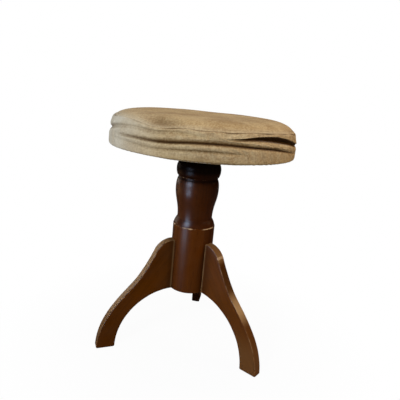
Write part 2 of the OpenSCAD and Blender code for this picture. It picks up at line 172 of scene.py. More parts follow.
def round_table(table, turn, blur=5.0):
    """Values of a table of (degrees, value, ...) rows at each angle, joined by lines and then blurred.

    The table closes on itself. The blur is a Gaussian of that many degrees, laid over one full turn.
    """
    rows = np.array(sorted((row[0] % 360, *row[1:]) for row in table), float)
    fine = np.arange(720) / 2
    spread = np.minimum(fine, 360 - fine)
    weight = bell(spread / blur)
    weight = np.fft.rfft(weight / weight.sum())
    place = np.degrees(turn) % 360
    columns = []
    for column in rows.T[1:]:
        joined = np.interp(fine, rows[:, 0], column, period=360)
        blurred = np.fft.irfft(np.fft.rfft(joined) * weight, 720)
        columns.append(np.interp(place, fine, blurred, period=360))
    return columns


def grid_faces(shape, loop):
    """Corner numbers of the faces of a grid whose columns close on themselves.

    With loop its rows close too. Otherwise two more points, numbered after the grid's, close its ends.
    """
    rows, cols = shape
    here = np.arange(rows * cols).reshape(rows, cols)
    right = np.roll(here, -1, axis=1)
    if loop:
        below, far = np.roll(here, -1, axis=0), np.roll(right, -1, axis=0)
        quads = np.stack([here, right, far, below], axis=2).reshape(-1, 4)
        return quads.tolist()
    quads = np.stack([here[:-1], right[:-1], right[1:], here[1:]], axis=2).reshape(-1, 4)
    first = np.full(cols, rows * cols)
    last = first + 1
    starts = np.stack([first, right[0], here[0]], axis=1)
    ends = np.stack([last, here[-1], right[-1]], axis=1)
    return quads.tolist() + starts.tolist() + ends.tolist()


def outward(points, faces):
    """True if the faces enclose a positive volume, summed as the tetrahedra from the origin to each."""
    corners = np.array([(f[0], f[i], f[i + 1]) for f in faces for i in range(1, len(f) - 1)])
    a, b, c = (points[corners[:, i]] for i in range(3))
    return (a * np.cross(b, c)).sum() > 0


def build(name, grids, material, loop=False, crease=40, layers=None):
    """A mesh object of one or more closed grids of points, with its faces outward.

    grids has the shape (copies, rows, columns, 3), or (rows, columns, 3) for one. layers holds one
    number or one vector for each point, under its attribute's name.
    """
    grids = np.asarray(grids, float)
    if grids.ndim == 3:
        grids = grids[None]
    copies, rows, cols = grids.shape[:3]

    def with_poles(values):
        flat = values.reshape(copies, rows * cols, -1)
        if loop:
            return flat
        poles = np.stack([values[:, 0].mean(1), values[:, -1].mean(1)], axis=1)
        return np.concatenate([flat, poles.reshape(copies, 2, -1)], axis=1)

    points = with_poles(grids)
    faces = grid_faces((rows, cols), loop)
    if not outward(points[0], faces):
        faces = [face[::-1] for face in faces]
    step = points.shape[1]
    every = [[corner + k * step for corner in face] for k in range(copies) for face in faces]
    mesh = bpy.data.meshes.new(name)
    mesh.from_pydata(points.reshape(-1, 3), [], every)
    for title, values in (layers or {}).items():
        values = with_poles(np.asarray(values, float).reshape(copies, rows, cols, -1))
        vector = values.shape[-1] == 3
        kind, key = ("FLOAT_VECTOR", "vector") if vector else ("FLOAT", "value")
        mesh.attributes.new(title, kind, "POINT").data.foreach_set(key, values.ravel())
    mesh.validate()
    mesh.shade_smooth()
    mesh.set_sharp_from_angle(angle=np.radians(crease))
    mesh.materials.append(material)
    return in_scene(name, mesh)


def in_scene(name, data):
    """An object of that data, linked to the scene."""
    made = bpy.data.objects.new(name, data)
    bpy.context.scene.collection.objects.link(made)
    return made


def dress(node, body, name, grids, stuff, **form):
    """Builds a piece on a body, in place of a CAD node and with that node's finish."""
    piece = build(name, grids, stuff, **form)
    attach(piece, body)
    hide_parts(node)
    return piece


def lacquered():
    """The collection of the pieces with glossy lacquer."""
    name = "lacquered"
    return bpy.data.collections.get(name) or bpy.data.collections.new(name)


def finish_node(name, stuff):
    """Gives a material to a CAD node that stays as it is."""
    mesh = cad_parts[name].data
    mesh.materials.clear()
    mesh.materials.append(stuff)


class Tree:
    """Adds nodes to a node tree, side by side in the order in which they are made."""

    def __init__(self, tree):
        self.tree = tree

    def fill(self, node, values):
        """Gives a node's inputs their numbers, or links them to other nodes' outputs."""
        node.location = (190 * len(self.tree.nodes), 0)
        for key, value in values.items():
            if isinstance(value, bpy.types.NodeSocket):
                self.tree.links.new(value, node.inputs[key])
            else:
                node.inputs[key].default_value = value
        return node

    def add(self, kind, values=None, **settings):
        made = self.tree.nodes.new("ShaderNode" + kind)
        for key, value in settings.items():
            setattr(made, key, value)
        return self.fill(made, values or {})

    def math(self, operation, a, b=0.0, clamp=False):
        return self.add("Math", {0: a, 1: b}, operation=operation, use_clamp=clamp).outputs[0]

    def times(self, a, b, clamp=False):
        return self.math("MULTIPLY", a, b, clamp)

    def total(self, *terms, clamp=False):
        """The sum of pairs of a value and its weight."""
        parts = [value if weight == 1 else self.times(value, weight) for value, weight in terms]
        first, *others = parts
        for number, other in enumerate(others, 1):
            first = self.math("ADD", first, other, clamp and number == len(others))
        return first

    def mix(self, share, a, b, blend="MIX"):
        made = self.add("Mix", {0: share, 6: a, 7: b}, data_type="RGBA", blend_type=blend)
        return made.outputs[2]

    def spread(self, value, low, high, to_low=0.0, to_high=1.0):
        return self.add("MapRange", {0: value, 1: low, 2: high, 3: to_low, 4: to_high}).outputs[0]

    def noise(self, place, scale, detail=4.0, roughness=0.55, distortion=0.0):
        """Noise at a place, with one scale or with one for each axis."""
        if isinstance(scale, tuple):
            place = self.add("Mapping", {"Vector": place, "Scale": scale}).outputs[0]
            scale = 1.0
        values = {
            "Vector": place, "Scale": scale, "Detail": detail,
            "Roughness": roughness, "Distortion": distortion,
        }
        return self.add("TexNoise", values).outputs["Fac"]

    def kept(self, attribute, output="Fac"):
        """What the mesh keeps for each point, such as the wear of its edges."""
        return self.add("Attribute", attribute_name=attribute).outputs[output]

    def place(self):
        return self.add("TexCoord").outputs["Object"]

    def group(self, make, **values):
        """The outputs of the node group that make builds once, with its name before the colon."""
        title = make.__doc__.split(":")[0]
        shared = bpy.data.node_groups.get(title) or make(title)
        return self.add("Group", values, node_tree=shared).outputs

    def result(self, **values):
        """Ends a node group with its outputs' values."""
        self.fill(self.tree.nodes.new("NodeGroupOutput"), values)
        return self.tree

    def bump(self, height, depth):
        return self.add("Bump", {"Height": height, "Distance": depth, "Strength": 1.0}).outputs["Normal"]

    def finish(self, values, shader="BsdfPrincipled", sink="OutputMaterial"):
        """Ends a material or a world with a shader of those values."""
        self.add(sink, {"Surface": self.add(shader, values).outputs[0]})


def opaque(colour, share=1.0):
    """A colour, or a darker share of it, as a node takes it."""
    return (*(c * share for c in colour), 1.0)


def empty_tree(owner):
    """The tree of a material's or a world's nodes, without any."""
    owner.use_nodes = True
    owner.node_tree.nodes.clear()
    return Tree(owner.node_tree)


def new_material(name):
    """A new material, and its tree without any nodes."""
    made = bpy.data.materials.new(name)
    return made, empty_tree(made)


def new_group(title, inputs, outputs):
    """The tree of a new shader node group, and what it is given. Sockets are named by their kind."""
    made = bpy.data.node_groups.new(title, "ShaderNodeTree")
    for way, sockets in (("INPUT", inputs), ("OUTPUT", outputs)):
        for kind, names in sockets.items():
            for name in names.split():
                made.interface.new_socket(name, in_out=way, socket_type="NodeSocket" + kind)
    return Tree(made), made.nodes.new("NodeGroupInput").outputs


def wood_grain(title):
    """Wood grain: long streaks and short dark pores that run along the place's third axis."""
    tree, given = new_group(
        title, {"Vector": "Place", "Color": "Light Dark", "Float": "Figure"},
        {"Color": "Colour", "Float": "Streaks Height"},
    )
    place = given["Place"]
    shift = tree.times(tree.noise(place, (9, 9, 2.5), 2.0), given["Figure"])
    bent = tree.add("VectorMath", {0: place, 1: shift}, operation="ADD").outputs[0]
    streaks = tree.noise(bent, (210, 210, 7), 5.0, 0.6)
    broad = tree.noise(bent, (45, 45, 3), 3.0)
    pores = tree.spread(tree.noise(place, (1500, 1500, 60), 2.0), 0.62, 0.72)
    share = tree.spread(tree.total((streaks, 0.55), (broad, 0.45)), 0.36, 0.66)
    colour = tree.mix(share, given["Dark"], given["Light"])
    colour = tree.mix(tree.times(pores, 0.45), colour, given["Dark"], "MULTIPLY")
    return tree.result(Colour=colour, Streaks=share, Height=tree.total((share, 0.4), (pores, -1)))


def edge_wear(title):
    """Edge wear: a ragged mask where a kept wear value is high, broken up by noise."""
    tree, given = new_group(
        title, {"Vector": "Place", "Float": "Wear Amount"}, {"Float": "Mask Scuffs"}
    )
    place = given["Place"]
    coarse, fine = tree.noise(place, 60.0, 4.0, 0.6), tree.noise(place, 420.0, 3.0, 0.65)
    level = tree.total((coarse, 0.9), (fine, 0.5), (given["Wear"], given["Amount"]))
    scratch = tree.spread(tree.noise(place, (90, 90, 700), 3.0, 0.7, 0.8), 0.66, 0.74)
    patch = tree.spread(tree.noise(place, 22.0, 2.0), 0.5, 0.66)
    return tree.result(Mask=tree.spread(level, 1.25, 1.5), Scuffs=tree.times(scratch, patch))


def settled_dust(title):
    """Settled dust: a soft grey film, thicker where a fine noise is high."""
    tree, given = new_group(title, {"Vector": "Place", "Float": "Amount"}, {"Float": "Mask"})
    place = given["Place"]
    film = tree.total((tree.noise(place, 30.0, 3.0), 0.6), (tree.noise(place, 900.0, 3.0, 0.7), 0.4))
    return tree.result(Mask=tree.times(tree.spread(film, 0.42, 0.75), given["Amount"]))


def metal_skin(title):
    """Metal skin: blotches of tarnish, fine scratches and a pitted height."""
    tree, given = new_group(
        title, {"Vector": "Place", "Color": "Bright Dull", "Float": "Grain"},
        {"Color": "Colour", "Float": "Dullness Height"},
    )
    place = given["Place"]
    blotch = tree.spread(tree.noise(place, 120.0, 5.0, 0.65), 0.4, 0.66)
    grain = tree.noise(place, given["Grain"], 3.0, 0.7)
    scratch = tree.spread(tree.noise(place, (1400, 90, 300), 2.0, 0.6), 0.35, 0.6, 0.7, 1.0)
    share = tree.times(blotch, scratch)
    colour = tree.mix(share, given["Bright"], given["Dull"])
    return tree.result(Colour=colour, Dullness=share, Height=tree.total((grain, 1), (blotch, -0.3)))


def pile_cloth(title):
    """Pile cloth: fine ribs of a given phase, brushed lighter and darker, with a fibrous surface.

    Its creases keep dirt and shade, and its faded places are paler and cooler.
    """
    tree, given = new_group(
        title, {"Vector": "Place", "Float": "Ribs Fade Crease", "Color": "Base Deep Faded Dirt"},
        {"Color": "Colour", "Float": "Height"},
    )
    place = given["Place"]
    rib = tree.spread(tree.math("SINE", given["Ribs"]), -1.0, 1.0)
    fibre = tree.noise(place, 900.0, 4.0, 0.7)
    thread = tree.noise(place, 300.0, 3.0, 0.65)
    brushed = tree.spread(tree.noise(place, 30.0, 4.0, 0.6), 0.36, 0.66)
    patches = tree.spread(tree.noise(place, 11.0, 3.0, 0.5), 0.4, 0.62, -0.5, 0.5)
    speck = tree.spread(tree.noise(place, 620.0, 2.0, 0.5), 0.38, 0.62)
    deep = tree.total(
        (tree.spread(thread, 0.38, 0.62), 0.6), (speck, 0.2), (tree.math("SUBTRACT", 1.0, rib), 0.25),
        (tree.math("SUBTRACT", brushed, 0.5), 0.55), (patches, 0.3), clamp=True,
    )
    # Paling: worn pile, and painted window light
    paling = tree.times(given["Fade"], tree.spread(brushed, 0.0, 1.0, 1.15, 0.75), clamp=True)
    # Painted shade in the creases, ragged with the threads
    ragged = tree.total((given["Crease"], 1), (tree.math("SUBTRACT", thread, 0.5), 0.35))
    crease = tree.times(ragged, tree.spread(given["Crease"], 0.0, 0.15), clamp=True)
    colour = tree.mix(paling, tree.mix(deep, given["Base"], given["Deep"]), given["Faded"])
    return tree.result(
        Colour=tree.mix(crease, colour, given["Dirt"]),
        Height=tree.total((rib, 0.5), (fibre, 0.5), (thread, 0.7)),
    )


# The lacquer's share of a full clear coat: the white surroundings would veil a fuller one
GLOSS = 0.037


def lacquered_wood(name, wood, light, amount):
    """Stained wood under an old lacquer that has gone from its edges.

    It is darker where the mesh keeps it dark, and paler where hands and feet have rubbed it dull.
    """
    made, tree = new_material(name)
    where, dark = tree.kept("grain", "Vector"), tree.kept("dark")
    grain = tree.group(
        wood_grain, Place=where, Light=opaque(light), Dark=opaque(light, 0.7), Figure=0.03
    )
    wear = tree.group(edge_wear, Place=where, Wear=tree.kept("wear"), Amount=amount)
    dust = tree.group(settled_dust, Place=where, Amount=0.02)
    worn = opaque(wood.worn_colour)
    bare = tree.mix(grain["Streaks"], opaque(wood.worn_colour, 0.6), worn)
    # Painted shade: the grain's colour taken nearly to black where the mesh keeps it dark
    painted_shade_colour = tree.mix(0.88, grain["Colour"], (0.002, 0.001, 0.0008, 1.0))
    colour = tree.mix(dark, grain["Colour"], painted_shade_colour)
    # Paler where the lacquer is worn dull, and where light is painted on
    colour = tree.mix(tree.kept("dulled_and_lit"), colour, opaque(wood.dulled_and_lit_colour))
    colour = tree.mix(wear["Mask"], colour, bare)
    colour = tree.mix(tree.times(wear["Scuffs"], 0.1), colour, worn)
    film = tree.spread(tree.noise(where, 55.0, 4.0, 0.6), 0.35, 0.7, 1.0, 0.8)
    coat = tree.times(film, tree.spread(wear["Mask"], 0.0, 1.0, GLOSS, GLOSS * 0.2))
    ripple = tree.noise(where, (70, 70, 16), 2.0)
    height = tree.total((grain["Height"], 0.12), (ripple, 1), (wear["Mask"], -0.5))
    tree.finish({
        "Base Color": tree.mix(dust["Mask"], colour, (0.32, 0.29, 0.25, 1.0)),
        "Roughness": tree.spread(film, 0.8, 1.0, 0.62, 0.5),
        "Specular IOR Level": 0.0,
        "Normal": tree.bump(height, 0.12 * MM),
        "Coat Weight": tree.times(coat, tree.spread(dark, 0.0, 1.0, 1.0, 0.12)),
        "Coat Roughness": 0.29,
    })
    return made


def raw_wood(name, light, dark, turn=(0.0, 0.0, 0.0)):
    """Bare planed wood, with its grain along the turned place's third axis."""
    made, tree = new_material(name)
    place = tree.add("Mapping", {"Vector": tree.place(), "Rotation": turn}).outputs["Vector"]
    grain = tree.group(wood_grain, Place=place, Light=opaque(light), Dark=opaque(dark), Figure=0.06)
    dust = tree.group(settled_dust, Place=place, Amount=0.3)
    tree.finish({
        "Base Color": tree.mix(dust["Mask"], grain["Colour"], (0.25, 0.21, 0.16, 1.0)),
        "Roughness": tree.spread(grain["Streaks"], 0.0, 1.0, 0.62, 0.78),
        "Normal": tree.bump(grain["Height"], 0.2 * MM),
    })
    return made


def aged_metal(name, bright, dull, rough, grain=1800.0, metallic=1.0, pits=0.05 * MM):
    """Steel, iron or brass with tarnish and fine scratches."""
    made, tree = new_material(name)
    skin = tree.group(
        metal_skin, Place=tree.place(), Bright=opaque(bright), Dull=opaque(dull), Grain=grain
    )
    tree.finish({
        "Base Color": skin["Colour"],
        "Metallic": metallic,
        "Roughness": tree.spread(skin["Dullness"], 0.0, 1.0, rough, rough + 0.3),
        "Normal": tree.bump(skin["Height"], pits),
    })
    return made


def bright_steel(screw):
    """The steel of the screw and of all wood screws, made once."""
    name, clean = "bright_steel", screw.steel_colour
    return bpy.data.materials.get(name) or aged_metal(name, clean, [c * 0.5 for c in clean], 0.28)


def soft_stuff(name, light, dark, scale, depth, sheen=0.3):
    """Foam, wadding, lining, leather or elastic: a matt fibrous surface of two near colours."""
    made, tree = new_material(name)
    place = tree.place()
    fine = tree.noise(place, scale * 9, 3.0, 0.7)
    share = tree.total((tree.noise(place, scale, 4.0, 0.65), 0.6), (fine, 0.4))
    tree.finish({
        "Base Color": tree.mix(tree.spread(share, 0.35, 0.65), opaque(dark), opaque(light)),
        "Roughness": tree.spread(fine, 0.3, 0.7, 0.82, 0.95),
        "Normal": tree.bump(share, depth),
        "Sheen Weight": sheen,
    })
    return made


def cover_cloth(name, cover, ribs, sheen):
    """The cover's pile cloth. ribs makes the ribs' phase from the tree and the place."""
    made, tree = new_material(name)
    place = tree.place()
    # The kept wear pales the pile, with painted window light; the kept crease holds painted shade
    cloth = tree.group(
        pile_cloth, Place=place, Ribs=ribs(tree, place), Fade=tree.kept("wear"),
        Crease=tree.kept("crease"), Base=opaque(cover.cloth_colour), Deep=opaque(cover.deep_colour),
        Faded=opaque(cover.faded_and_lit_colour), Dirt=opaque(cover.crease_colour),
    )
    tree.finish({
        "Base Color": cloth["Colour"],
        "Roughness": tree.spread(cloth["Height"], 0.4, 1.2, 0.95, 0.82),
        "Normal": tree.bump(cloth["Height"], 0.4 * MM),
        "Specular IOR Level": 0.0,
        "Sheen Weight": sheen,
        "Sheen Roughness": 0.4,
    })
    return made


# Leg outlines as in the frame's source: shares of the way from the hub's side to the foot,
# and of the height from the floor to the leg's top or to the hub's lower end
SHOULDER = [[0, 1], [0.085, 1], [0.172, 0.965], [0.222, 0.914]]
BACK = [[0.222, 0.914], [0.278, 0.831], [0.385, 0.688], [0.513, 0.59]]
SABRE = [[0.513, 0.59], [0.7, 0.448], [0.982, 0.277], [1, 0]]
INNER = [[0, 1], [0.47, 0.972], [0.986, 0.585], [1, 0]]
GRAIN_LEAN = np.radians(55)
# Points along the shoulder's outline, round each softened edge, along a whole outer or inner edge
# with both its arrises, and across a flat side
SHOULDER_POINTS = 13
ARRIS_POINTS = 7
EDGE_POINTS = 2 * ARRIS_POINTS + 3
FLAT_POINTS = 8
# Each leg: how far its outer edge is worn dull at a height in millimetres, and the flat sides near the
# floor; on the right leg the paler elbow and lower flat sides are painted light. Then its painted shade
# above and at the foot, its edges' share of the wear, and the painted shade on its outer edge at a
# height.
LEG_MARKS = {
    "rear": (((0, 0), (90, 0), (216, 0.3)), 0, 0.15, 0.8, 0.3, ((0, 0), (216, 0))),
    "left": (((0, 0.18), (60, 0.3), (215, 0.4), (216, 0.2)), 0, 0.3, 0.36, 0.35, ((0, 0), (216, 0))),
    "right": (
        ((88, 0.05), (99, 0.5), (111, 0.95), (123, 0.8), (142, 0.05), (186, 0), (196, 0.35), (212, 0.2)),
        0.14, 0, 0, 1.15, ((125, 0), (140, 0.45), (182, 0.45), (194, 0)),
    ),
}


def leg_lines():
    """The outer and the inner edge of a leg, from its root to just above the floor, as equal counts."""
    reach = FOOT_REACH - HUB_R
    inner_reach = reach - FOOT_LENGTH
    parts = [
        bezier(SHOULDER, np.linspace(0, 1, SHOULDER_POINTS)),
        bezier(BACK, np.linspace(0, 1, 17)[1:]),
        bezier(SABRE, np.linspace(0, 1, 31)[1:]),
    ]
    outer = np.vstack(parts) * [reach, LEG_TOP] + [HUB_R, 0]
    root = HUB_R - HOUSING_DEPTH
    outer = np.vstack([[root, LEG_TOP], outer])
    share = np.linspace(0, 1, len(outer) - 1)
    inner = bezier(INNER, share) * [inner_reach, HUB_BOTTOM] + [HUB_R, 0]
    inner = np.vstack([[root, HUB_BOTTOM], inner])
    return outer, inner


def leg_section_grid(arris, foot_round):
    """Rungs of a leg from its root to its foot, each a closed section with four rounded edges.

    A point lies on the outer or inner edge's line, drawn in along the line's normal by the round of
    the arris, and out of the middle plane by what the round leaves. Each flat side is a row of
    points between the two edges. The last rungs are drawn in towards the floor by a quarter circle.
    With the grid come its wear, which the joint with the hub shares, and how dark its lacquer is.
    """
    outer, inner = leg_lines()
    count = len(outer)
    half = LEG_THICKNESS / 2
    outer_normal, inner_normal = miters(outer), -miters(inner)
    outer_normal[0], inner_normal[0] = [0, 1], [0, -1]
    outer[:, 1] = np.maximum(outer[:, 1], foot_round)
    inner[:, 1] = np.maximum(inner[:, 1], foot_round)
    draw, side = quarter(ARRIS_POINTS)
    draw_in = np.concatenate([draw, [-0.06, -0.08, -0.06], draw[::-1]])
    across = np.concatenate(
        [side * arris - half, [-half * 0.4, 0, half * 0.4], (half - side * arris)[::-1]]
    )
    turn = np.arange(count) / count
    softer = 1 + 0.22 * np.sin(9 * turn * np.pi + 0.6) + 0.12 * np.sin(23 * turn * np.pi)
    depth = draw_in[None, :, None] * arris * softer[:, None, None]
    outer_edge = outer[:, None] - outer_normal[:, None] * depth
    inner_edge = inner[:, None] - inner_normal[:, None] * depth
    steps = np.linspace(0, 1, FLAT_POINTS + 2)[1:-1][None, :, None]
    flat = outer_edge[:, -1:] * (1 - steps) + inner_edge[:, :1] * steps
    parts = [
        (outer_edge, across),
        (flat, np.full(FLAT_POINTS, half)),
        (inner_edge, -across),
        (flat[:, ::-1], np.full(FLAT_POINTS, -half)),
    ]
    section = np.concatenate([part for part, _ in parts], axis=1)
    thick = np.broadcast_to(np.concatenate([y for _, y in parts]), section.shape[:2])
    grid = np.stack([section[..., 0], thick, section[..., 1]], axis=2)
    middle = grid[-1].mean(0)
    size = np.abs(grid[-1] - middle).max(0)
    lift, pull = quarter(6)
    rounds = [
        np.column_stack([
            middle[0] + (grid[-1, :, 0] - middle[0]) * (1 - foot_round * p / size[0]),
            grid[-1, :, 1] * (1 - foot_round * p / size[1]),
            np.full(grid.shape[1], foot_round * h),
        ])
        for h, p in zip(lift[1:], pull[1:])
    ]
    grid = np.concatenate([grid, rounds])
    edge = 0.95 * bell((draw_in - 0.25) / 0.3)
    edge[ARRIS_POINTS:-ARRIS_POINTS] = 0.05
    unworn = np.zeros(FLAT_POINTS)
    wear = np.tile(np.concatenate([edge, unworn, edge, unworn]), (len(grid), 1))
    # The corner where the shoulder meets the back is worn pale; its pale line is also a painted highlight
    from_corner = (grid[..., [0, 2]] - outer[SHOULDER_POINTS]).transpose(2, 0, 1)
    near = bell(np.hypot(*from_corner) / (2.8 * MM))
    wear = np.maximum(wear, near * 1.9)
    wear[-len(rounds):] = np.maximum(wear[-len(rounds):], 0.85)
    # The joint line with the hub is paler: a worn arris, and a painted highlight along it
    wear[1] = 0.4
    # Painted shade: darker towards the hub, where the leg meets it
    dark = 0.55 * smooth((HUB_R + 24 * MM - grid[..., 0]) / (24 * MM))
    return grid, wear, dark


def outer_edge_amounts(grid, along, sole):
    """How far a leg's outer edge is rubbed at each point, from a table of heights and amounts.

    It is full between the two outer arrises. sole is the amount on the flat sides near the floor.
    The line of the joint with the hub is rubbed as well.
    """
    height, amount = np.array(along, float).T
    edge = np.zeros(grid.shape[1])
    first = ARRIS_POINTS // 2
    last = EDGE_POINTS - 1 - first
    edge[first:last] = 1
    edge[[first, last]] = 0.5
    low = sole * smooth((90 * MM - grid[..., 2]) / (60 * MM))
    dulled_and_lit = np.maximum(np.interp(grid[..., 2] / MM, height, amount) * edge, low)
    dulled_and_lit[1] = 0.32 * np.sign(amount.max())
    return dulled_and_lit


def turned_points(grid, degrees):
    """The points of a grid turned round the axis."""
    a = np.radians(degrees)
    turn = np.array([[np.cos(a), np.sin(a), 0], [-np.sin(a), np.cos(a), 0], [0, 0, 1]])
    return grid @ turn


def hub_grid(rim, chip):
    """The hub with three flat housings, a socket and a bore: rows up its side, columns round it.

    Below the legs' tops a column that lies in a housing runs along the housing's flat floor, with a
    small chamfer at its two edges. Above them all columns lie on one circle. The top rim is a
    quarter circle, drawn in further where seeded waves make chips.
    """
    half = LEG_THICKNESS / 2 + 0.05 * MM
    floor = HUB_R - HOUSING_DEPTH
    lip = 0.5 * MM
    edge = np.arcsin((half + lip) / HUB_R)
    mouth = [
        [np.sqrt(HUB_R**2 - (half + lip) ** 2), half + lip],
        [np.sqrt((HUB_R - lip) ** 2 - half**2), half],
        [floor, half],
        [floor, half * 0.4],
    ]
    mouth = np.array([[x, -y] for x, y in mouth] + mouth[::-1])
    slot_turn = np.linspace(-edge, edge, len(mouth))
    wall_turn = np.linspace(edge, np.radians(120) - edge, 42)[1:-1]
    slotted, circle, seam = [], [], []
    for angle in LEG_ANGLES:
        a = np.radians(angle)
        turn = np.array([[np.cos(a), np.sin(a)], [-np.sin(a), np.cos(a)]])
        wall = np.column_stack([np.cos(wall_turn), np.sin(wall_turn)])
        slotted += [mouth @ turn, wall @ turn * HUB_R]
        both = np.concatenate([slot_turn, wall_turn])
        circle.append(np.column_stack([np.cos(both), np.sin(both)]) @ turn * HUB_R)
        # The housings' mouths are worn pale; their pale joint lines are also a painted highlight
        seam.append(np.concatenate([[0.6, 0.8, 0, 0, 0, 0, 0.8, 0.6], np.zeros(len(wall_turn))]))
    slotted, circle, seam = (np.concatenate(part) for part in (slotted, circle, seam))
    turn = np.arctan2(circle[:, 1], circle[:, 0])
    lift, pull = quarter(7)

    rows, wear = [], []

    def add(plan, shrink, height, worn):
        rows.append(np.column_stack([plan * shrink, np.full(len(plan), height)]))
        wear.append(np.broadcast_to(worn, len(plan)))

    add(slotted, 0.3, HUB_BOTTOM, 0)
    add(slotted, 0.7, HUB_BOTTOM, 0)
    for up, inward in zip(pull, lift):
        add(slotted, 1 - rim * inward / HUB_R, HUB_BOTTOM + rim * up, 0.8)
    for height in np.linspace(HUB_BOTTOM + rim, LEG_TOP, 14)[1:]:
        add(slotted, 1, height, seam)
    add(circle, 1, LEG_TOP + 0.05 * MM, np.where(seam > 0, 0.6, 0))
    for height in np.linspace(LEG_TOP, HUB_TOP - rim, 9)[1:]:
        add(circle, 1, height, 0)
    bite = np.clip(waves(turn, 4, 9, 60) - 0.35, 0, 1) * chip
    rim_wear = 0.25 * waves(turn, 8, 5, 24)
    for place, width, most in ((-50, 16, 1.2), (-112, 13, 0.9), (-150, 12, 0.6)):
        rim_wear = rim_wear + most * bell(np.degrees(turn - np.radians(place)) / width)
    for up, inward in zip(lift[::-1], pull[::-1]):
        shrink = 1 - (rim * inward + bite[:, None]) / HUB_R
        height = HUB_TOP - rim * up - bite * 0.5 * (1 - up)
        add(circle, shrink, height, 0.5 + 0.25 * np.sin(np.pi * up) + rim_wear)
    socket = TENON_R + 0.05 * MM
    socket_floor = COLUMN_FOOT - 0.3 * MM
    bore_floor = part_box("stop_screw")[0].z - 7 * MM
    for radius, height, worn in [
        (HUB_R - rim - 1.5 * MM, HUB_TOP, 0.25),
        (WAIST_R, HUB_TOP, 0),
        (socket, HUB_TOP, 0),
        (socket, socket_floor, 0),
        (BORE_R, socket_floor, 0),
        (BORE_R, bore_floor, 0),
        (BORE_R * 0.4, bore_floor, 0),
    ]:
        add(circle, radius / HUB_R, height, worn)
    return np.array(rows), np.array(wear)


def hub_painted_shade(grid):
    """How dark the hub's lacquer is: beside the legs, where dirt gathers, and all down one side."""
    turn = np.arctan2(grid[..., 1], grid[..., 0])
    away = [np.abs(np.angle(np.exp(1j * (turn - np.radians(angle))))) for angle in LEG_ANGLES]
    beside = bell((np.degrees(np.min(away, axis=0)) - 13) / 6)
    below = smooth((LEG_TOP + 4 * MM - grid[..., 2]) / (8 * MM))
    one_side = smooth((np.cos(turn + np.radians(20)) - 0.55) / 0.4)
    return np.maximum(0.55 * beside * below, 0.45 * one_side)


def column_profile():
    """The turned outline of the column, its top's recess for the nut, its bore and its tenon, closed.

    With it come the wear and the darkness of its lacquer, which is nearly black on the bead.
    """
    ring_height = (COLUMN_TOP - HUB_TOP) * 0.105
    vase = HUB_TOP + ring_height
    groove = COLUMN_TOP - BEAD_HEIGHT
    vase_height = groove - vase
    bead = groove + BEAD_HEIGHT * 0.1
    half = BEAD_HEIGHT * 0.45

    def turned(shares, r0, r1, z0, height, count, skip=1):
        line = bezier(shares, np.linspace(0, 1, count))[skip:]
        return line * [r1 - r0, height] + [r0, z0]

    swell = np.linspace(0, np.pi / 2, 15)
    parts = [
        turned([[1, 0], [1, 0.25], [0.62, 0.6], [0, 1]], WAIST_R, RING_R, HUB_TOP, ring_height, 15, 0),
        turned([[0, 0], [0, 0.36], [1, 0.46], [1, 0.75]], WAIST_R, BELLY_R, vase, vase_height, 33),
        turned([[1, 0.75], [1, 0.87], [0.6, 0.95], [0, 1]], GROOVE_R, BELLY_R, vase, vase_height, 17),
        np.column_stack([
            GROOVE_R + (BEAD_R - GROOVE_R) * np.sin(swell), bead + half * (1 - np.cos(swell))
        ]),
        np.column_stack([
            COLUMN_TOP_R + (BEAD_R - COLUMN_TOP_R) * np.cos(swell),
            bead + half + half * np.sin(swell),
        ])[1:],
        [
            [RECESS_R + 0.05 * MM, COLUMN_TOP],
            [RECESS_R + 0.05 * MM, COLUMN_TOP - RECESS_DEPTH],
            [BORE_R + 0.05 * MM, COLUMN_TOP - RECESS_DEPTH],
            [BORE_R + 0.05 * MM, COLUMN_FOOT],
            [TENON_R - 1 * MM, COLUMN_FOOT],
            [TENON_R, COLUMN_FOOT + 1 * MM],
            [TENON_R, HUB_TOP],
        ],
    ]
    profile = np.vstack(parts)
    height = profile[:, 1]
    wear = np.zeros(len(profile))
    for place, most in ((HUB_TOP, 0.9), (bead, 1.35)):
        wear = np.maximum(wear, most * bell((height - place) / (0.8 * MM)))
    # Painted shade in the groove under the bead and on the bead under the seat; darker round the ring too
    dark = 0.85 * bell((height - groove) / (4 * MM))
    dark = np.maximum(dark, 0.36 * bell((height - vase + 3 * MM) / (6 * MM)))
    on_bead = 0.6 * (height > groove) + 0.4 * smooth((height - groove - 9 * MM) / (9 * MM))
    dark = np.maximum(dark, on_bead)
    return profile, wear, dark


def screw_grid(pitch, depth):
    """The seat's screw: a right-hand trapezoidal thread between a spigot and a shank.

    The radius is the root's plus the thread's depth times a clipped triangle wave of the height
    over the pitch less the turn. The wave fades out at both ends of the thread.
    """
    turn = ring_angles(SCREW_SIDES)
    height = np.linspace(COLLAR_TOP, BOSS_BOTTOM, THREAD_ROWS)[:, None]
    phase = (height - COLLAR_TOP) / pitch - turn / (2 * np.pi)
    triangle = np.abs((phase % 1) * 2 - 1)
    from_ends = np.minimum(height - COLLAR_TOP, (BOSS_BOTTOM - height) + 6 * MM)
    tooth = smooth((triangle - 0.28) / 0.42) * smooth(from_ends / (2.5 * MM))
    radius = SCREW_R - depth + depth * tooth
    spigot = [(SPIGOT_R * 0.5, SCREW_BOTTOM), (SPIGOT_R, SCREW_BOTTOM), (SPIGOT_R, COLLAR_TOP)]
    shank = [(SHANK_R, BOSS_BOTTOM), (SHANK_R, SCREW_TOP), (SHANK_R * 0.5, SCREW_TOP)]
    thread = in_space(radius, height.repeat(SCREW_SIDES, axis=1), turn)
    return np.concatenate([revolve(spigot, SCREW_SIDES), thread, revolve(shank, SCREW_SIDES)])


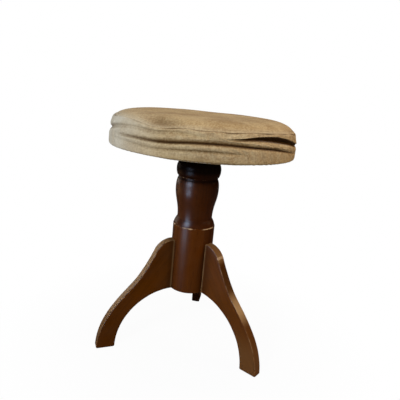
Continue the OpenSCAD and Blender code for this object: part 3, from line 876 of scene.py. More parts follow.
def slotted_screw(shank, length, slot):
    """A countersunk wood screw along +Z with its slotted head at zero.

    Rings run out over the head and down the cone, and each ring has its corners on the slot's two
    edges, so that the slot's walls are upright. Inside the slot a ring lies deeper.
    """
    head, half = shank, slot / 2
    deep = shank * 0.3
    radii = np.array([half * 1.01, head * 0.5, head * 0.8, head * 0.97, head])
    rings = []
    for radius in radii:
        a = np.arcsin(min(half / radius, 1.0))
        quarter_turns = [
            (np.linspace(-a, a, 4), deep), (np.linspace(a, np.pi - a, 10), 0.0),
            (np.linspace(np.pi - a, np.pi + a, 4), deep),
            (np.linspace(np.pi + a, 2 * np.pi - a, 10), 0.0),
        ]
        turn = np.concatenate([t for t, _ in quarter_turns])
        lower = np.concatenate([np.full(len(t), d) for t, d in quarter_turns])
        dome = 0.0 if radius < head else shank * 0.05
        rings.append(np.column_stack([radius * np.cos(turn), radius * np.sin(turn), lower + dome]))
    cone = rings[-1] * [0.5, 0.5, 0] + [0, 0, shank / 2 + deep]
    low = cone.copy()
    low[:, 2] = length - shank
    tip = low * [0.3, 0.3, 1] + [0, 0, shank * 0.8]
    return np.array([*rings, cone, low, tip])


def placed(grid, radius, height, degrees, down, seed):
    """Copies of a grid at each angle of a circle, pointing up or down, each turned by a seeded angle."""
    random = np.random.default_rng(seed)
    made = []
    for angle in degrees:
        copy = turned_points(grid, random.uniform(0, 180))
        if down:
            copy = copy * [1, -1, -1]
        copy = copy + [radius, 0, height]
        made.append(turned_points(copy, angle))
    return np.array(made)


# The cover's form when it lies evenly: its widest line, and the crown that rises from it
WIDEST_R = 166.3 * MM
WIDEST_SHIFT = 0.9 * MM
WIDEST_HEIGHT = 431 * MM
CROWN_LIFT = 0.7 * MM
CROWN_LEAN = 0.8 * MM
CROWN_POWER = 9.0
CROWN_ROUND = 0.62
LOWER_R = 168.4 * MM
LOWER_SHIFT = 1.7 * MM
LOWER_HEADING = np.radians(18)
RIM_BOTTOM = 395.8 * MM
RIM_SAG = 2 * MM
RIM_ROUND = 3.5 * MM
HEM_R = 146.5 * MM
HEM_ROLL = 2.2 * MM
HEM_TURNED = 9 * MM
WINDOW_SIDE = np.radians(-190)
MOST_WINDOW_PALING = 0.68
COVER_COLUMNS = 480
SIDE_ROWS = 120
# The settling cloth: its frames, the steps in which it is held, and how many of its columns the
# seam and the hem hold
SETTLE_FRAMES = 20
HOLD_STEPS = 8
HELD_AT_SEAM, HELD_AT_HEM = 3, 20
# The seam round the top panel: angle in degrees, radius in millimetres
SEAM = (
    (-170, 158.5), (-158, 157.4), (-148, 157.0), (-141, 157.8), (-134, 159.4), (-128, 160.8),
    (-122, 162.0), (-118, 162.0), (-114, 160.9), (-109, 160.0), (-104, 160.4), (-98, 161.5),
    (-90, 161.4), (-86, 161.2), (-83, 162.3), (-77, 161.5), (-68, 160.7), (-57, 161.2),
    (-47, 161.9), (-34, 162.9), (-26, 164.6), (-12, 164.0), (10, 162.0), (45, 160.8),
    (90, 161.5), (130, 160.2), (165, 159.2),
)
# Each fold: angle, height, depth, width above and below, sharpness, and how far its upper side
# overhangs as a roof
UPPER_FOLD = (
    (-174, 421.5, 6.0, 8, 9, 0.6, 0), (-161, 427.5, 4.6, 7, 8, 0.3, 0), (-151, 431.9, 3.6, 6, 7, 0.3, 0),
    (-143, 434.0, 3.0, 5, 7, 0.3, 0), (-135, 434.6, 2.8, 5, 7, 0.3, 0), (-127, 433.0, 3.4, 5, 6, 0.4, 0),
    (-120, 432.4, 3.4, 5, 6, 0.4, 0), (-114, 435.0, 2.8, 5, 6, 0.3, 0), (-107, 435.0, 2.6, 5, 6, 0.3, 0),
    (-100, 433.4, 2.0, 5, 6, 0.3, 0), (-94, 432.0, 0.9, 5, 6, 0.3, 0), (-88, 431.0, 0.0, 5, 6, 0.3, 0),
    (25, 428.0, 0.0, 6, 7, 0.4, 0), (45, 429.0, 2.5, 6, 8, 0.5, 0), (80, 432.0, 3.5, 6, 8, 0.6, 0),
    (120, 428.0, 4.0, 7, 8, 0.6, 0), (155, 423.0, 5.0, 7, 8, 0.7, 0),
)
WEDGE_FOLD = (
    (-86, 430.6, 0.0, 3, 5, 1, 1), (-80, 430.6, 2.2, 2.8, 5, 1, 1), (-74, 432.0, 4.2, 3.2, 5, 1, 1),
    (-67, 432.4, 6.6, 5.0, 5, 1, 1), (-60, 431.8, 8.8, 7.0, 5, 1, 1), (-53, 430.0, 9.8, 8.4, 5, 1, 1),
    (-46, 428.0, 9.8, 8.6, 5, 1, 1), (-39, 425.6, 9.2, 7.8, 5, 1, 1), (-32, 422.4, 8.0, 7.0, 5, 1, 1),
    (-25, 419.4, 6.0, 5.2, 5, 1, 1), (-18, 417.4, 3.4, 4.2, 5, 1, 0.6), (-6, 416.8, 2.6, 5, 6, 0.8, 0.2),
    (15, 419.0, 3.0, 6, 7, 0.6, 0), (40, 417.0, 2.2, 6, 7, 0.5, 0), (60, 415.0, 0.0, 6, 7, 0.4, 0),
)
MAIN_FOLD = (
    (-162, 417.5, 0.0, 6, 5, 0.3, 0), (-152, 417.7, 1.8, 6, 5, 0.5, 0), (-145, 418.3, 2.6, 6, 5, 0.7, 0),
    (-136, 418.8, 3.6, 7, 5, 0.8, 0.1), (-125, 418.5, 4.4, 7, 6, 0.9, 0.2),
    (-119, 418.4, 5.4, 7, 6, 1, 0.3), (-113, 419.4, 6.0, 7, 6, 1, 0.35),
    (-103, 422.2, 6.6, 6, 6, 1, 0.35), (-92, 423.5, 6.6, 6, 7, 1, 0.35),
    (-82, 423.3, 6.6, 6, 7, 1, 0.35), (-73, 422.0, 6.6, 6, 7, 1, 0.35), (-63, 420.1, 6.4, 5.5, 6, 1, 0.3),
    (-56, 418.8, 6.0, 5, 6, 1, 0.3), (-46, 415.6, 5.2, 5, 6, 1, 0.2), (-39, 412.7, 3.8, 5, 6, 0.9, 0.1),
    (-27, 407.4, 2.2, 5, 5, 0.6, 0), (-17, 404.5, 0.0, 5, 5, 0.4, 0), (70, 414.0, 0.0, 6, 6, 0.4, 0),
    (95, 416.0, 3.0, 7, 6, 0.8, 0), (130, 415.0, 4.5, 7, 6, 1, 0.2), (160, 411.0, 2.5, 6, 6, 0.7, 0),
    (180, 409.0, 0.0, 6, 6, 0.3, 0),
)
LOWER_FOLD = (
    (-166, 410.0, 0.0, 6, 6, 0.2, 0), (-154, 409.8, 1.4, 6, 6, 0.2, 0), (-144, 409.3, 2.0, 6, 6, 0.3, 0),
    (-131, 408.0, 2.4, 6, 5, 0.4, 0), (-121, 407.4, 3.0, 6, 5, 0.5, 0), (-113, 409.4, 3.4, 6, 5, 0.6, 0),
    (-102, 411.7, 3.6, 5, 5, 0.7, 0), (-92, 412.4, 3.4, 5, 5, 0.7, 0), (-82, 411.4, 2.6, 5, 5, 0.5, 0),
    (-74, 411.0, 1.2, 5, 5, 0.3, 0), (-66, 410.6, 0.0, 5, 5, 0.2, 0), (0, 408.0, 0.0, 6, 6, 0.3, 0),
    (25, 406.5, 2.4, 6, 6, 0.5, 0), (55, 407.0, 3.2, 6, 6, 0.6, 0), (80, 408.0, 1.0, 6, 6, 0.4, 0),
    (100, 408.0, 0.0, 6, 6, 0.3, 0),
)
FOLDS = (UPPER_FOLD, WEDGE_FOLD, MAIN_FOLD, LOWER_FOLD)
# Dents in the top: angle, radius, depth, half width along the radius and across it
DENTS = (
    (-120, 149, 5.0, 12, 24), (-128, 141, 2.5, 14, 22), (-150, 95, 1.6, 45, 40),
    (-60, 80, 1.2, 50, 60), (60, 110, 1.8, 40, 60),
)


def fold_depth(turn, height):
    """How far the folds draw the cover's side in at each angle and height, and a mask of their creases.

    A fold's section is a share of the distance to its line: two quarter circles that meet where it
    is sharp, a raised cosine where it is soft, and a quarter ellipse above its line where the cloth
    overhangs. The widths above and below the line differ, and everything changes with the angle.
    The mask follows the section, so that it is high near the line of a deep, sharp fold only.
    """
    total = np.zeros(np.broadcast(turn, height).shape)
    crease = np.zeros_like(total)
    for fold in FOLDS:
        line, depth, above, below, sharp, roof = round_table(fold, turn, 3.0)
        off = height - line * MM
        share = np.clip(np.abs(off) / (np.where(off > 0, above, below) * MM), 0, 1)
        rolls = 1 - np.sqrt(np.clip(1 - (1 - share) ** 2, 0, 1))
        valley = (1 + np.cos(np.pi * share)) / 2
        hollow = np.sqrt(1 - share**3)
        section = sharp * rolls + (1 - sharp) * valley
        roof = np.where(off > 0, roof, 0)
        section = section * (1 - roof) + hollow * roof
        total += depth * MM * section
        # Painted shade, strongest at the line of a deep, sharp fold
        crease = np.maximum(crease, smooth((section - 0.04) / 0.55) * smooth(depth / 5.5) * sharp)
    return total, crease


def dent_depth(x, y):
    """How far the top lies below its even crown: a sum of oval bells."""
    total = np.zeros(np.shape(x))
    for angle, radius, depth, along, across in DENTS:
        a = np.radians(angle)
        u = x * np.cos(a) + y * np.sin(a) - radius * MM
        v = y * np.cos(a) - x * np.sin(a)
        total += depth * MM * np.exp(-((u / (along * MM)) ** 2) - (v / (across * MM)) ** 2)
    return total


def widest_radius(turn):
    return WIDEST_R + WIDEST_SHIFT * np.cos(turn)


def even_crown(radius, turn):
    """Height of the cover's top without its dents: from the widest line up by one less a power of
    the radius, itself raised to a power below one, and a little higher on one side."""
    share = np.clip(radius / widest_radius(turn), 0, 1)
    rise = COVER_TOP + CROWN_LIFT - WIDEST_HEIGHT + CROWN_LEAN * share * np.cos(turn)
    return WIDEST_HEIGHT + rise * (1 - share**CROWN_POWER) ** CROWN_ROUND


def crown_height(radius, turn):
    """Height of the cover's top: its even crown less the dents, with faint seeded waves."""
    share = np.clip(radius / widest_radius(turn), 0, 1)
    x, y = radius * np.cos(turn), radius * np.sin(turn)
    faint = waves(turn, 12, 3, 8, radius * 0.5) * 0.5 * MM * smooth(share * 1.4)
    return even_crown(radius, turn) - dent_depth(x, y) + (faint - 0.3 * MM) * (1 - share**8)


def side_radius(height, turn):
    """Radius of the cover's side: the crown's curve turned about above the widest line, and a
    smooth step out to the lower half's larger circle below it."""
    rise = np.clip((height - WIDEST_HEIGHT) / (COVER_TOP - WIDEST_HEIGHT), 0, 1)
    shoulder = (1 - rise ** (1 / CROWN_ROUND)) ** (1 / CROWN_POWER)
    lower = LOWER_R + LOWER_SHIFT * np.cos(turn + LOWER_HEADING)
    upper = widest_radius(turn) * shoulder
    return upper + (lower - widest_radius(turn)) * smooth((WIDEST_HEIGHT - height) / (9 * MM))


def seam_line(turn):
    """Radius and height of the seam at each angle."""
    radius = round_table(SEAM, turn, 2.5)[0] * MM
    return radius, crown_height(radius, turn)


def seam_opening(turn):
    """How far the seam gapes at each angle: mostly shut where the cloth is pulled tight on one side."""
    pulled = smooth((np.cos(turn - np.radians(-40)) + 0.35) / 0.9)
    return np.clip(0.1 + 0.5 * pulled + 0.45 * waves(turn, 27, 8, 26), 0, 1)


def settle(grid, held, most):
    """How far a cloth surface moves when it is let go for a few frames.

    grid is closed along its first axis and open along its second. held is how firmly each point is
    held, from 0 to 1. The cloth starts a little too wide for its place and swells, so that it
    creases. A move is never longer than most.
    """
    rows, cols = grid.shape[:2]
    here = np.arange(rows * cols).reshape(rows, cols)
    right = np.roll(here, -1, axis=0)
    quads = np.stack([here[:, :-1], here[:, 1:], right[:, 1:], right[:, :-1]], axis=2)
    mesh = bpy.data.meshes.new("settling")
    mesh.from_pydata(grid.reshape(-1, 3), [], quads.reshape(-1, 4).tolist())
    cloth = in_scene("settling", mesh)
    scene = bpy.context.scene
    pins = cloth.vertex_groups.new(name="held")
    levels = np.round(np.clip(held, 0, 1).ravel() * HOLD_STEPS).astype(int)
    for level in range(1, HOLD_STEPS + 1):
        pins.add(np.flatnonzero(levels == level).tolist(), level / HOLD_STEPS, "REPLACE")
    let_go = cloth.modifiers.new("cloth", "CLOTH")
    stuff = let_go.settings
    stuff.quality = 5
    stuff.mass = 0.3
    stuff.tension_stiffness = 18
    stuff.compression_stiffness = 12
    stuff.shear_stiffness = 6
    stuff.bending_stiffness = 0.35
    stuff.shrink_min = -0.008
    stuff.use_pressure = True
    stuff.uniform_pressure_force = 4
    stuff.vertex_group_mass = pins.name
    stuff.effector_weights.gravity = 0
    let_go.collision_settings.use_collision = False
    for number in range(1, SETTLE_FRAMES + 1):
        scene.frame_set(number)
    shown = cloth.evaluated_get(bpy.context.evaluated_depsgraph_get())
    moved = np.empty(rows * cols * 3, np.float32)
    shown.data.vertices.foreach_get("co", moved)
    bpy.data.objects.remove(cloth)
    bpy.data.meshes.remove(mesh)
    scene.frame_set(1)
    move = moved.reshape(rows, cols, 3) - grid
    length = np.linalg.norm(move, axis=2, keepdims=True)
    return move * np.minimum(1, most / np.maximum(length, 1e-9))


def finer(values, shape):
    """Values of a coarse grid, closed along its first axis, at the points of a finer one."""
    rows, cols = values.shape[:2]
    a = np.arange(shape[0]) * rows / shape[0]
    b = np.linspace(0, cols - 1, shape[1])
    i, j = a.astype(int), np.minimum(b.astype(int), cols - 2)
    s, t = (a - i)[:, None, None], (b - j)[None, :, None]
    next_i = (i + 1) % rows
    near = values[i][:, j] * (1 - t) + values[i][:, j + 1] * t
    far = values[next_i][:, j] * (1 - t) + values[next_i][:, j + 1] * t
    return near * (1 - s) + far * s


def window_side_paling(turn):
    """How far the sun has faded the cloth: most on the side that faced the window."""
    return MOST_WINDOW_PALING * smooth((np.cos(turn - WINDOW_SIDE) - 0.1) / 0.9)


def top_panel_grid(settings):
    """The cover's top panel: rings from its middle out to the seam, round its turned edge and back.

    Outside it follows the crown, with a shallow line of stitches inside the seam. Its lower side is
    the same crown, lower by the cloth's thickness.
    """
    turn = ring_angles(COVER_COLUMNS)[None, :]
    edge_r, edge_z = seam_line(turn[0])
    round_r = settings.cloth_thickness / 2
    reach = edge_r - round_r
    share = np.concatenate([np.linspace(0.01, 0.86, 46), np.linspace(0.86, 1, 46)[1:]])[:, None]
    radius = share * reach
    height = crown_height(radius, turn)
    from_seam = reach - radius
    height = height - bell((from_seam - 3.2 * MM) / (0.8 * MM)) * 0.45 * MM
    height += bell(from_seam / (1.6 * MM)) * settings.seam_ridge * 0.5
    bend = np.linspace(0, np.pi, 9)[1:, None]
    rough = 1 + 0.25 * waves(turn[0], 31, 40, 110)
    lip_r = reach + round_r * np.sin(bend) * rough
    lip_z = height[-1] - round_r + round_r * np.cos(bend)
    under = np.concatenate([np.linspace(0.98, 0.84, 12), np.linspace(0.7, 0.02, 10)])[:, None]
    under_r = under * reach
    under_z = crown_height(under_r, turn) - settings.cloth_thickness
    grid = np.concatenate([
        in_space(radius, height, turn), in_space(lip_r, lip_z, turn), in_space(under_r, under_z, turn)
    ])
    # Paler pile: worn near the seam, and painted window light on the window side
    dulled_and_lit = 0.15 * bell(from_seam / (6 * MM)) + 0.45 * window_side_paling(turn) * share**5
    wear = np.concatenate([dulled_and_lit, dulled_and_lit[-1:].repeat(len(bend), axis=0), np.zeros(under_r.shape)])
    # Painted shade: in the line of stitches, under the lip where the seam gapes, and in the dents
    stitches = bell((from_seam - 3.2 * MM) / (1.1 * MM)) * 0.25
    lip = 0.9 * np.sin(bend / 2) ** 4 * seam_opening(turn)
    low = 0.5 * dent_depth(radius * np.cos(turn), radius * np.sin(turn)) / (5 * MM)
    stitch_and_dent_shade = np.maximum(stitches * seam_opening(turn), low)
    crease = np.concatenate([stitch_and_dent_shade, lip, np.zeros(under_r.shape)])
    return grid, wear, crease


def band_line(settings, turn):
    """The band's outer line at each angle, as radius and height: from under the seam down the side,
    round the lower edge, in under the board and back round the elastic.

    The folds draw the side in, a small roll bulges out below the seam, and seeded waves pucker it.
    The last two values are how far in the folds draw each point, and how deep it lies in a crease.
    """
    edge_r = seam_line(turn)[0]
    open_seam = seam_opening(turn)
    lip_top = crown_height(edge_r - settings.cloth_thickness / 2, turn) + settings.seam_ridge * 0.5
    start = lip_top - settings.cloth_thickness * (0.5 + 0.4 * open_seam)
    foot = RIM_BOTTOM + RIM_ROUND - RIM_SAG * np.cos(turn) ** 2
    share = np.linspace(0, 1, SIDE_ROWS)[None, :]
    height = start + (foot - start) * share
    even = side_radius(height, turn)
    below = start - height
    even -= (even[:, :1] - edge_r) * np.exp(-below / (4 * MM))
    drawn, crease = fold_depth(turn, height)
    drawn *= smooth(below / (2.5 * MM)) * settings.fold_scale
    tuck = np.clip(1 - below / (2.2 * MM), 0, 1)
    tuck = 1 - np.sqrt(np.clip(1 - tuck**2, 0, 1))
    roll = bell((below - 2.4 * MM) / (1.8 * MM)) * settings.seam_ridge
    soft = waves(turn, 5, 3, 9, height * 0.8) * 0.6 * MM
    puckers = waves(turn, 21, 30, 70, height * 0.3) * 0.25 * MM
    side = even - drawn - tuck * 0.8 * MM * open_seam + roll
    side += (soft + puckers) * smooth(below / (8 * MM))
    # Painted shade: in the seam under the lip, and low on the band, least towards the window lamp
    crease = np.maximum(crease, bell(below / (1.1 * MM)) * open_seam)
    lower_band_shade = 0.14 * smooth((418 * MM - height) / (8 * MM)) * (1 - window_side_paling(turn) / MOST_WINDOW_PALING)
    crease = np.maximum(crease, lower_band_shade)
    lowest = side[:, -1:]
    bend = np.linspace(0, np.pi / 2, 13)[None, 1:]
    hang = waves(turn, 19, 60, 120) * 0.35 * MM * np.sin(bend)
    corner_r = lowest - RIM_ROUND * (1 - np.cos(bend))
    corner_z = foot - RIM_ROUND * np.sin(bend) + hang
    share = np.linspace(0, 1, 17)[None, 1:]
    gathers = np.abs(waves(turn, 17, 50, 90)) * 1.3 * MM * np.sin(np.pi * share) ** 0.7
    under_r = corner_r[:, -1:] + (HEM_R - corner_r[:, -1:]) * share
    under_z = corner_z[:, -1:] + (HEM_BOTTOM + 0.3 * MM - corner_z[:, -1:]) * smooth(share) + gathers
    bend = np.linspace(0, np.pi, 9)[None, 1:]
    roll_r = HEM_R - HEM_ROLL * np.sin(bend) + 0 * turn
    roll_z = under_z[:, -1:] + HEM_ROLL * (1 - np.cos(bend))
    end_r = np.full_like(turn, HEM_R + HEM_TURNED)
    radius = np.concatenate([side, corner_r, under_r, roll_r, end_r], axis=1)
    height = np.concatenate([height, corner_z, under_z, roll_z, roll_z[:, -1:]], axis=1)
    inward = np.zeros_like(radius)
    inward[:, :SIDE_ROWS] = drawn
    kept = np.zeros_like(radius)
    kept[:, :SIDE_ROWS] = crease
    return radius, height, inward, kept


def band_grid(settings):
    """The cover's band: at each angle a closed section of the cloth.

    The outer line is moved by a coarse cloth that is let settle. The inner line is the outer one,
    moved in along its own normal by the cloth's thickness.
    """
    turn = ring_angles(COVER_COLUMNS)[:, None]
    radius, height, inward, crease = band_line(settings, turn)
    outer = in_space(radius, height, turn)
    coarse = slice(None, None, 2), slice(None, None, 2)
    held = 0.15 + inward[coarse] / (5 * MM)
    held[:, :HELD_AT_SEAM] = 1
    held[:, -HELD_AT_HEM:] = 1
    outer += finer(settle(outer[coarse], held, settings.settle_most), outer.shape[:2])
    out = outer[..., 0] * np.cos(turn) + outer[..., 1] * np.sin(turn)
    line = np.stack([out, outer[..., 2]], axis=2)
    along = np.roll(line, -2, axis=1) - np.roll(line, 2, axis=1)
    along[:, :2], along[:, -2:] = along[:, 2:3], along[:, -3:-2]
    along /= np.maximum(np.linalg.norm(along, axis=2, keepdims=True), 1e-9)
    thin = np.arange(line.shape[1] - 1, -1, -2)
    inner = line + np.stack([along[..., 1], -along[..., 0]], axis=2) * settings.cloth_thickness
    inner = inner[:, thin]
    grid = np.concatenate([outer, in_space(inner[..., 0], inner[..., 1], turn)], axis=1)
    # Paler pile: worn ridges, and painted window light on the window side, less in the creases
    ridge = 0.1 * np.clip(1 - inward / (2.5 * MM), 0, 1) * smooth((height - RIM_BOTTOM) / (12 * MM))
    wear = np.maximum(ridge, window_side_paling(turn) * (1 - 0.6 * crease))
    inside = np.zeros(inner.shape[:2])
    return grid, np.concatenate([wear, inside], axis=1), np.concatenate([crease, inside], axis=1)


def room_inside(turn, radius, height, gap, scale):
    """The radius and the height that the cover leaves to a layer which lies a gap inside it.

    The folds and dents are taken a gap wider on both sides, so that the layer clears their slopes.
    """
    drawn = np.max([fold_depth(turn, height + shift * gap)[0] for shift in (-1, 0, 1)], axis=0)
    dent = np.max([
        dent_depth((radius + shift * gap) * np.cos(turn), (radius + shift * gap) * np.sin(turn))
        for shift in (-2, 0, 2)
    ], axis=0)
    under = even_crown(radius + gap, turn) - dent - gap - 0.8 * MM
    return side_radius(height + gap, turn) - drawn * scale - gap, under


def layer_grid(settings, outer_r, top, bottom, gap, thick, turn_in):
    """A layer of the padding: a dome whose side is drawn in with the cover's folds.

    It lies a gap inside the cover wherever the cover is narrower or lower than the layer's own dome.
    With a thickness it is a shell, open below, and with turn_in its edge lies flat under the board
    in gathers.
    """
    count = 192
    turn = ring_angles(count)[None, :]
    edge = 12 * MM

    def line(offset):
        flat = np.linspace(0.02, 1, 20)[:, None] * (outer_r - edge)
        arc = np.linspace(0, np.pi / 2, 9)[1:, None]
        radius = np.concatenate([flat, outer_r - edge + edge * np.sin(arc)]) * np.ones_like(turn)
        drop = np.concatenate([np.zeros(flat.shape), edge * (1 - np.cos(arc))])
        under = room_inside(turn, radius, radius * 0 + top, gap, 1)[1]
        height = np.minimum(top - drop, under)
        side = np.linspace(0, 1, 24)[1:, None]
        down = height[-1:] + (bottom - height[-1:]) * side
        radius = np.concatenate([radius, np.full((len(side), count), outer_r)])
        height = np.concatenate([height, down])
        within = room_inside(turn, radius, height, gap, settings.fold_scale)[0]
        radius = np.minimum(radius, within) - offset * np.clip(radius / outer_r, 0, 1)
        return np.stack([radius, height - offset * (1 - smooth((radius - 140 * MM) / (20 * MM)))], axis=2)

    lines = [line(0.0)]
    if turn_in:
        share = np.linspace(0, 1, 14)[:, None]
        inward = outer_r - 1.5 * MM - share * turn_in
        gathers = (np.abs(np.sin(turn * 12)) - 0.5) * 0.5 * MM * smooth(share * 3)
        flat = np.stack([inward * np.ones_like(turn), bottom + gathers - 0.2 * MM], axis=2)
        lines.append(flat)
        lines.append(flat[::-1] + [0, thick])
    if thick:
        lines.append(line(thick)[::-1])
    else:
        lines.append(np.stack([
            np.array([[0.8], [0.3]]) * outer_r * np.ones_like(turn), np.full((2, count), bottom)
        ], axis=2))
    rows = np.concatenate(lines)
    return in_space(rows[..., 0], rows[..., 1], turn)


def ring_grid(inner_r, outer_r, low, high, soften, count=128):
    """A flat ring with its four edges rounded."""
    lift, pull = quarter(5)
    corners = [
        np.column_stack([outer_r - soften * pull, low + soften * lift])[::-1],
        np.column_stack([outer_r - soften * pull, high - soften * lift]),
        np.column_stack([inner_r + soften * pull, high - soften * lift])[::-1],
        np.column_stack([inner_r + soften * pull, low + soften * lift]),
    ]
    return revolve(np.vstack(corners), count)


def colour_setting(name, description, default):
    """A colour, as linear red, green and blue."""
    return FloatVectorProperty(
        name=name, description=description, default=default, subtype="COLOR", min=0, max=1
    )


def length_setting(name, description, default, least, most):
    """A length, whose three values are given in millimetres."""
    return FloatProperty(
        name=name, description=description, default=default * MM, min=least * MM, max=most * MM,
        unit="LENGTH",
    )


def power_setting(name, description, default, most=200):
    """A lamp's power."""
    return FloatProperty(
        name=name, description=f"{description}, in watts", default=default, min=0, max=most
    )


class StoolWood(bpy.types.PropertyGroup):
    """Wooden pieces: the legs, the hub and the column."""

    leg_colour: colour_setting(
        "Leg Colour", "Lighter colour of the legs' grain", (0.105, 0.0275, 0.0005)
    )
    hub_colour: colour_setting("Hub Colour", "Lighter colour of the hub's grain", (0.083, 0.02, 0.001))
    # Darker than the hub's and the legs' colours, in part painted shade from the seat above it
    column_colour: colour_setting(
        "Column Colour", "Lighter colour of the column's grain", (0.056, 0.0125, 0.001)
    )
    worn_colour: colour_setting(
        "Worn Colour", "Bare wood where the lacquer has gone", (0.46, 0.29, 0.16)
    )
    # Dulled lacquer, which on the right leg's elbow and lower sides stands for painted light
    dulled_and_lit_colour: colour_setting(
        "Rubbed Colour", "Dulled lacquer on the legs' outer edges", (0.34, 0.20, 0.09)
    )
    arris: length_setting("Arris", "Radius of the legs' softened edges", 1.8, 0.5, 4)
    foot_round: length_setting("Foot Round", "Radius of the feet's lower edges", 2.8, 0.5, 6)
    rim: length_setting("Hub Rim", "Radius of the hub's worn rims", 1.8, 0.5, 3)
    chip: length_setting("Rim Chips", "Depth of the chips in the hub's upper rim", 1.2, 0, 2)


class StoolScrew(bpy.types.PropertyGroup):
    """The screw that raises the seat."""

    pitch: length_setting("Pitch", "Rise of the thread in one turn", 6, 3, 10)
    thread_depth: length_setting(
        "Thread Depth", "Depth of the thread below the screw's outside", 2.2, 0.5, 3
    )
    slot: length_setting("Screw Slot", "Width of the slots in the wood screws' heads", 0.9, 0.5, 1.5)
    steel_colour: colour_setting(
        "Steel Colour", "Clean steel of the screw and its fittings", (0.46, 0.45, 0.43)
    )
    iron_colour: colour_setting(
        "Iron Colour", "Blackened iron of the nut and the seat plate", (0.045, 0.043, 0.042)
    )


class StoolCover(bpy.types.PropertyGroup):
    """The loose cover and the padding under it."""

    cloth_colour: colour_setting(
        "Cloth Colour", "Pile that stands up to the light", (0.485, 0.35, 0.185)
    )
    deep_colour: colour_setting(
        "Deep Colour", "Between the ribs and where the pile is brushed down", (0.30, 0.19, 0.086)
    )
    # Paler, cooler pile: worn ridges and sun fading, and painted window light on the window side
    faded_and_lit_colour: colour_setting(
        "Faded Colour", "Rubbed pile on the ridges, and pile that the sun has faded", (0.52, 0.48, 0.405)
    )
    # Painted shade, with dirt: in the creases, the seam, the dents and low on the band
    crease_colour: colour_setting(
        "Crease Colour", "Dirt and shade kept in the deepest creases", (0.08, 0.036, 0.01)
    )
    fold_scale: FloatProperty(
        name="Fold Scale", description="Depth of the cover's folds, as a share of the measured one",
        default=1.0, min=0.0, max=1.3,
    )
    rib_count: IntProperty(
        name="Ribs", description="Number of fine ribs round the cover's band",
        default=480, min=100, max=900,
    )
    seam_ridge: length_setting(
        "Seam Ridge", "Radius of the raised seam round the top panel", 1.3, 0.5, 3
    )
    cloth_thickness: length_setting(
        "Cloth Thickness", "Thickness of the cover's cloth with its pile", 1.6, 0.8, 2.5
    )
    settle_most: length_setting(
        "Settling", "The most that the cloth may move while it settles", 1.5, 0, 6
    )


class StoolStage(bpy.types.PropertyGroup):
    """Floor, lamps and camera."""

    floor_colour: colour_setting("Floor Colour", "Plain pale floor", (0.4, 0.4, 0.395))
    key_power: power_setting("Window Power", "Power of the tall lamp on the left", 51.0)
    card_power: power_setting(
        "Card Power", "Power of the lamps that show only in the lacquer's gloss", 115.0, 600
    )
    far_power: power_setting("Far Window Power", "Power of the lamp behind on the left", 5.0)
    fill_power: power_setting("Fill Power", "Power of the lamp high on the right", 21.0)
    top_power: power_setting("Ceiling Power", "Power of the lamp overhead", 3.0)
    sky: FloatProperty(
        name="Sky", description="Strength of the even light from all round", default=0.2, min=0, max=2
    )


# The photograph's camera, fitted to the seat's rims, the column and the feet
CAMERA_PLACE = (-91.6 * MM, -773.0 * MM, 503.1 * MM)
CAMERA_HEADING = np.radians(82.702)
CAMERA_PITCH = np.radians(15.019)
CAMERA_ROLL = np.radians(5.5)
FOCAL_PIXELS = 420.38
IMAGE_PIXELS = 400
SENSOR_MM = 36.0

# The surroundings' faces, by their corners
FLOOR = [(-30, -30, 0), (30, -30, 0), (30, 30, 0), (-30, 30, 0)]
DARK_SIDE = [(2.6, -2.4, 0.02), (2.6, 2.4, 0.02), (2.6, 2.4, 1.9), (2.6, -2.4, 1.9)]
WHITE = (1, 1, 1, 1)
MIDDLE = (0, 0, 0.28)
COOL, WARM, BLUE = (0.82, 0.91, 1.0), (1.0, 0.82, 0.60), (0.5, 0.7, 1.0)
# Each lamp: its place, its target, its width and height, the setting that holds its power, its
# share of that power, and its colour
LAMPS = {
    "window": ((-1.40, -1.70, 1.4), MIDDLE, (0.4, 0.7), "key_power", 1, COOL),
    "far_window": ((-1.65, 1.38, 0.75), MIDDLE, (0.9, 0.9), "far_power", 1, COOL),
    "room": ((1.34, -0.42, 1.5), MIDDLE, (0.6, 0.6), "fill_power", 1, WARM),
    "ceiling": ((0.1, -0.2, 2.1), MIDDLE, (1.8, 1.8), "top_power", 1, (0.92, 0.97, 1.0)),
    "window_card": ((-0.62, -0.50, 0.51), (0, 0, 0.51), (0.36, 0.40), "card_power", 0.72, BLUE),
    "high_card": ((-0.62, -0.50, 0.83), (0, 0, 0.83), (0.36, 0.23), "card_power", 1.05, BLUE),
    "low_card": ((-0.62, -0.50, 0.075), (0, 0, 0.075), (0.36, 0.11), "card_power", 0.32, BLUE),
    "far_card": ((-1.65, 1.65, 0.62), MIDDLE, (1.6, 1.2), "card_power", 1.1, (1.0, 0.97, 0.85)),
    "side_card": ((-0.74, 0.30, 0.11), (0, 0, 0.11), (0.62, 0.2), "card_power", 0.036, (1, 0.75, 0.4)),
    "room_card": ((2.0, 0.32, 1.05), MIDDLE, (0.5, 0.45), "card_power", 0.12, (1.0, 0.8, 0.5)),
}


def camera_turn():
    """The camera's axes as columns: right, up and back, from heading, pitch and roll."""
    level = np.cos(CAMERA_PITCH)
    ahead = np.array([
        np.cos(CAMERA_HEADING) * level, np.sin(CAMERA_HEADING) * level, -np.sin(CAMERA_PITCH)
    ])
    right = np.array([np.sin(CAMERA_HEADING), -np.cos(CAMERA_HEADING), 0])
    up = np.cross(right, ahead)
    rolled = np.cos(CAMERA_ROLL) * right + np.sin(CAMERA_ROLL) * up
    upright = -np.sin(CAMERA_ROLL) * right + np.cos(CAMERA_ROLL) * up
    return Matrix(np.column_stack([rolled, upright, -ahead]).tolist())


def background_share(tree):
    """One for what the camera, a mirror or glass sees of the background, and zero for its light."""
    path = tree.add("LightPath").outputs
    seen = tree.math("MAXIMUM", path["Is Camera Ray"], path["Is Glossy Ray"])
    return tree.math("MAXIMUM", seen, path["Is Transmission Ray"])


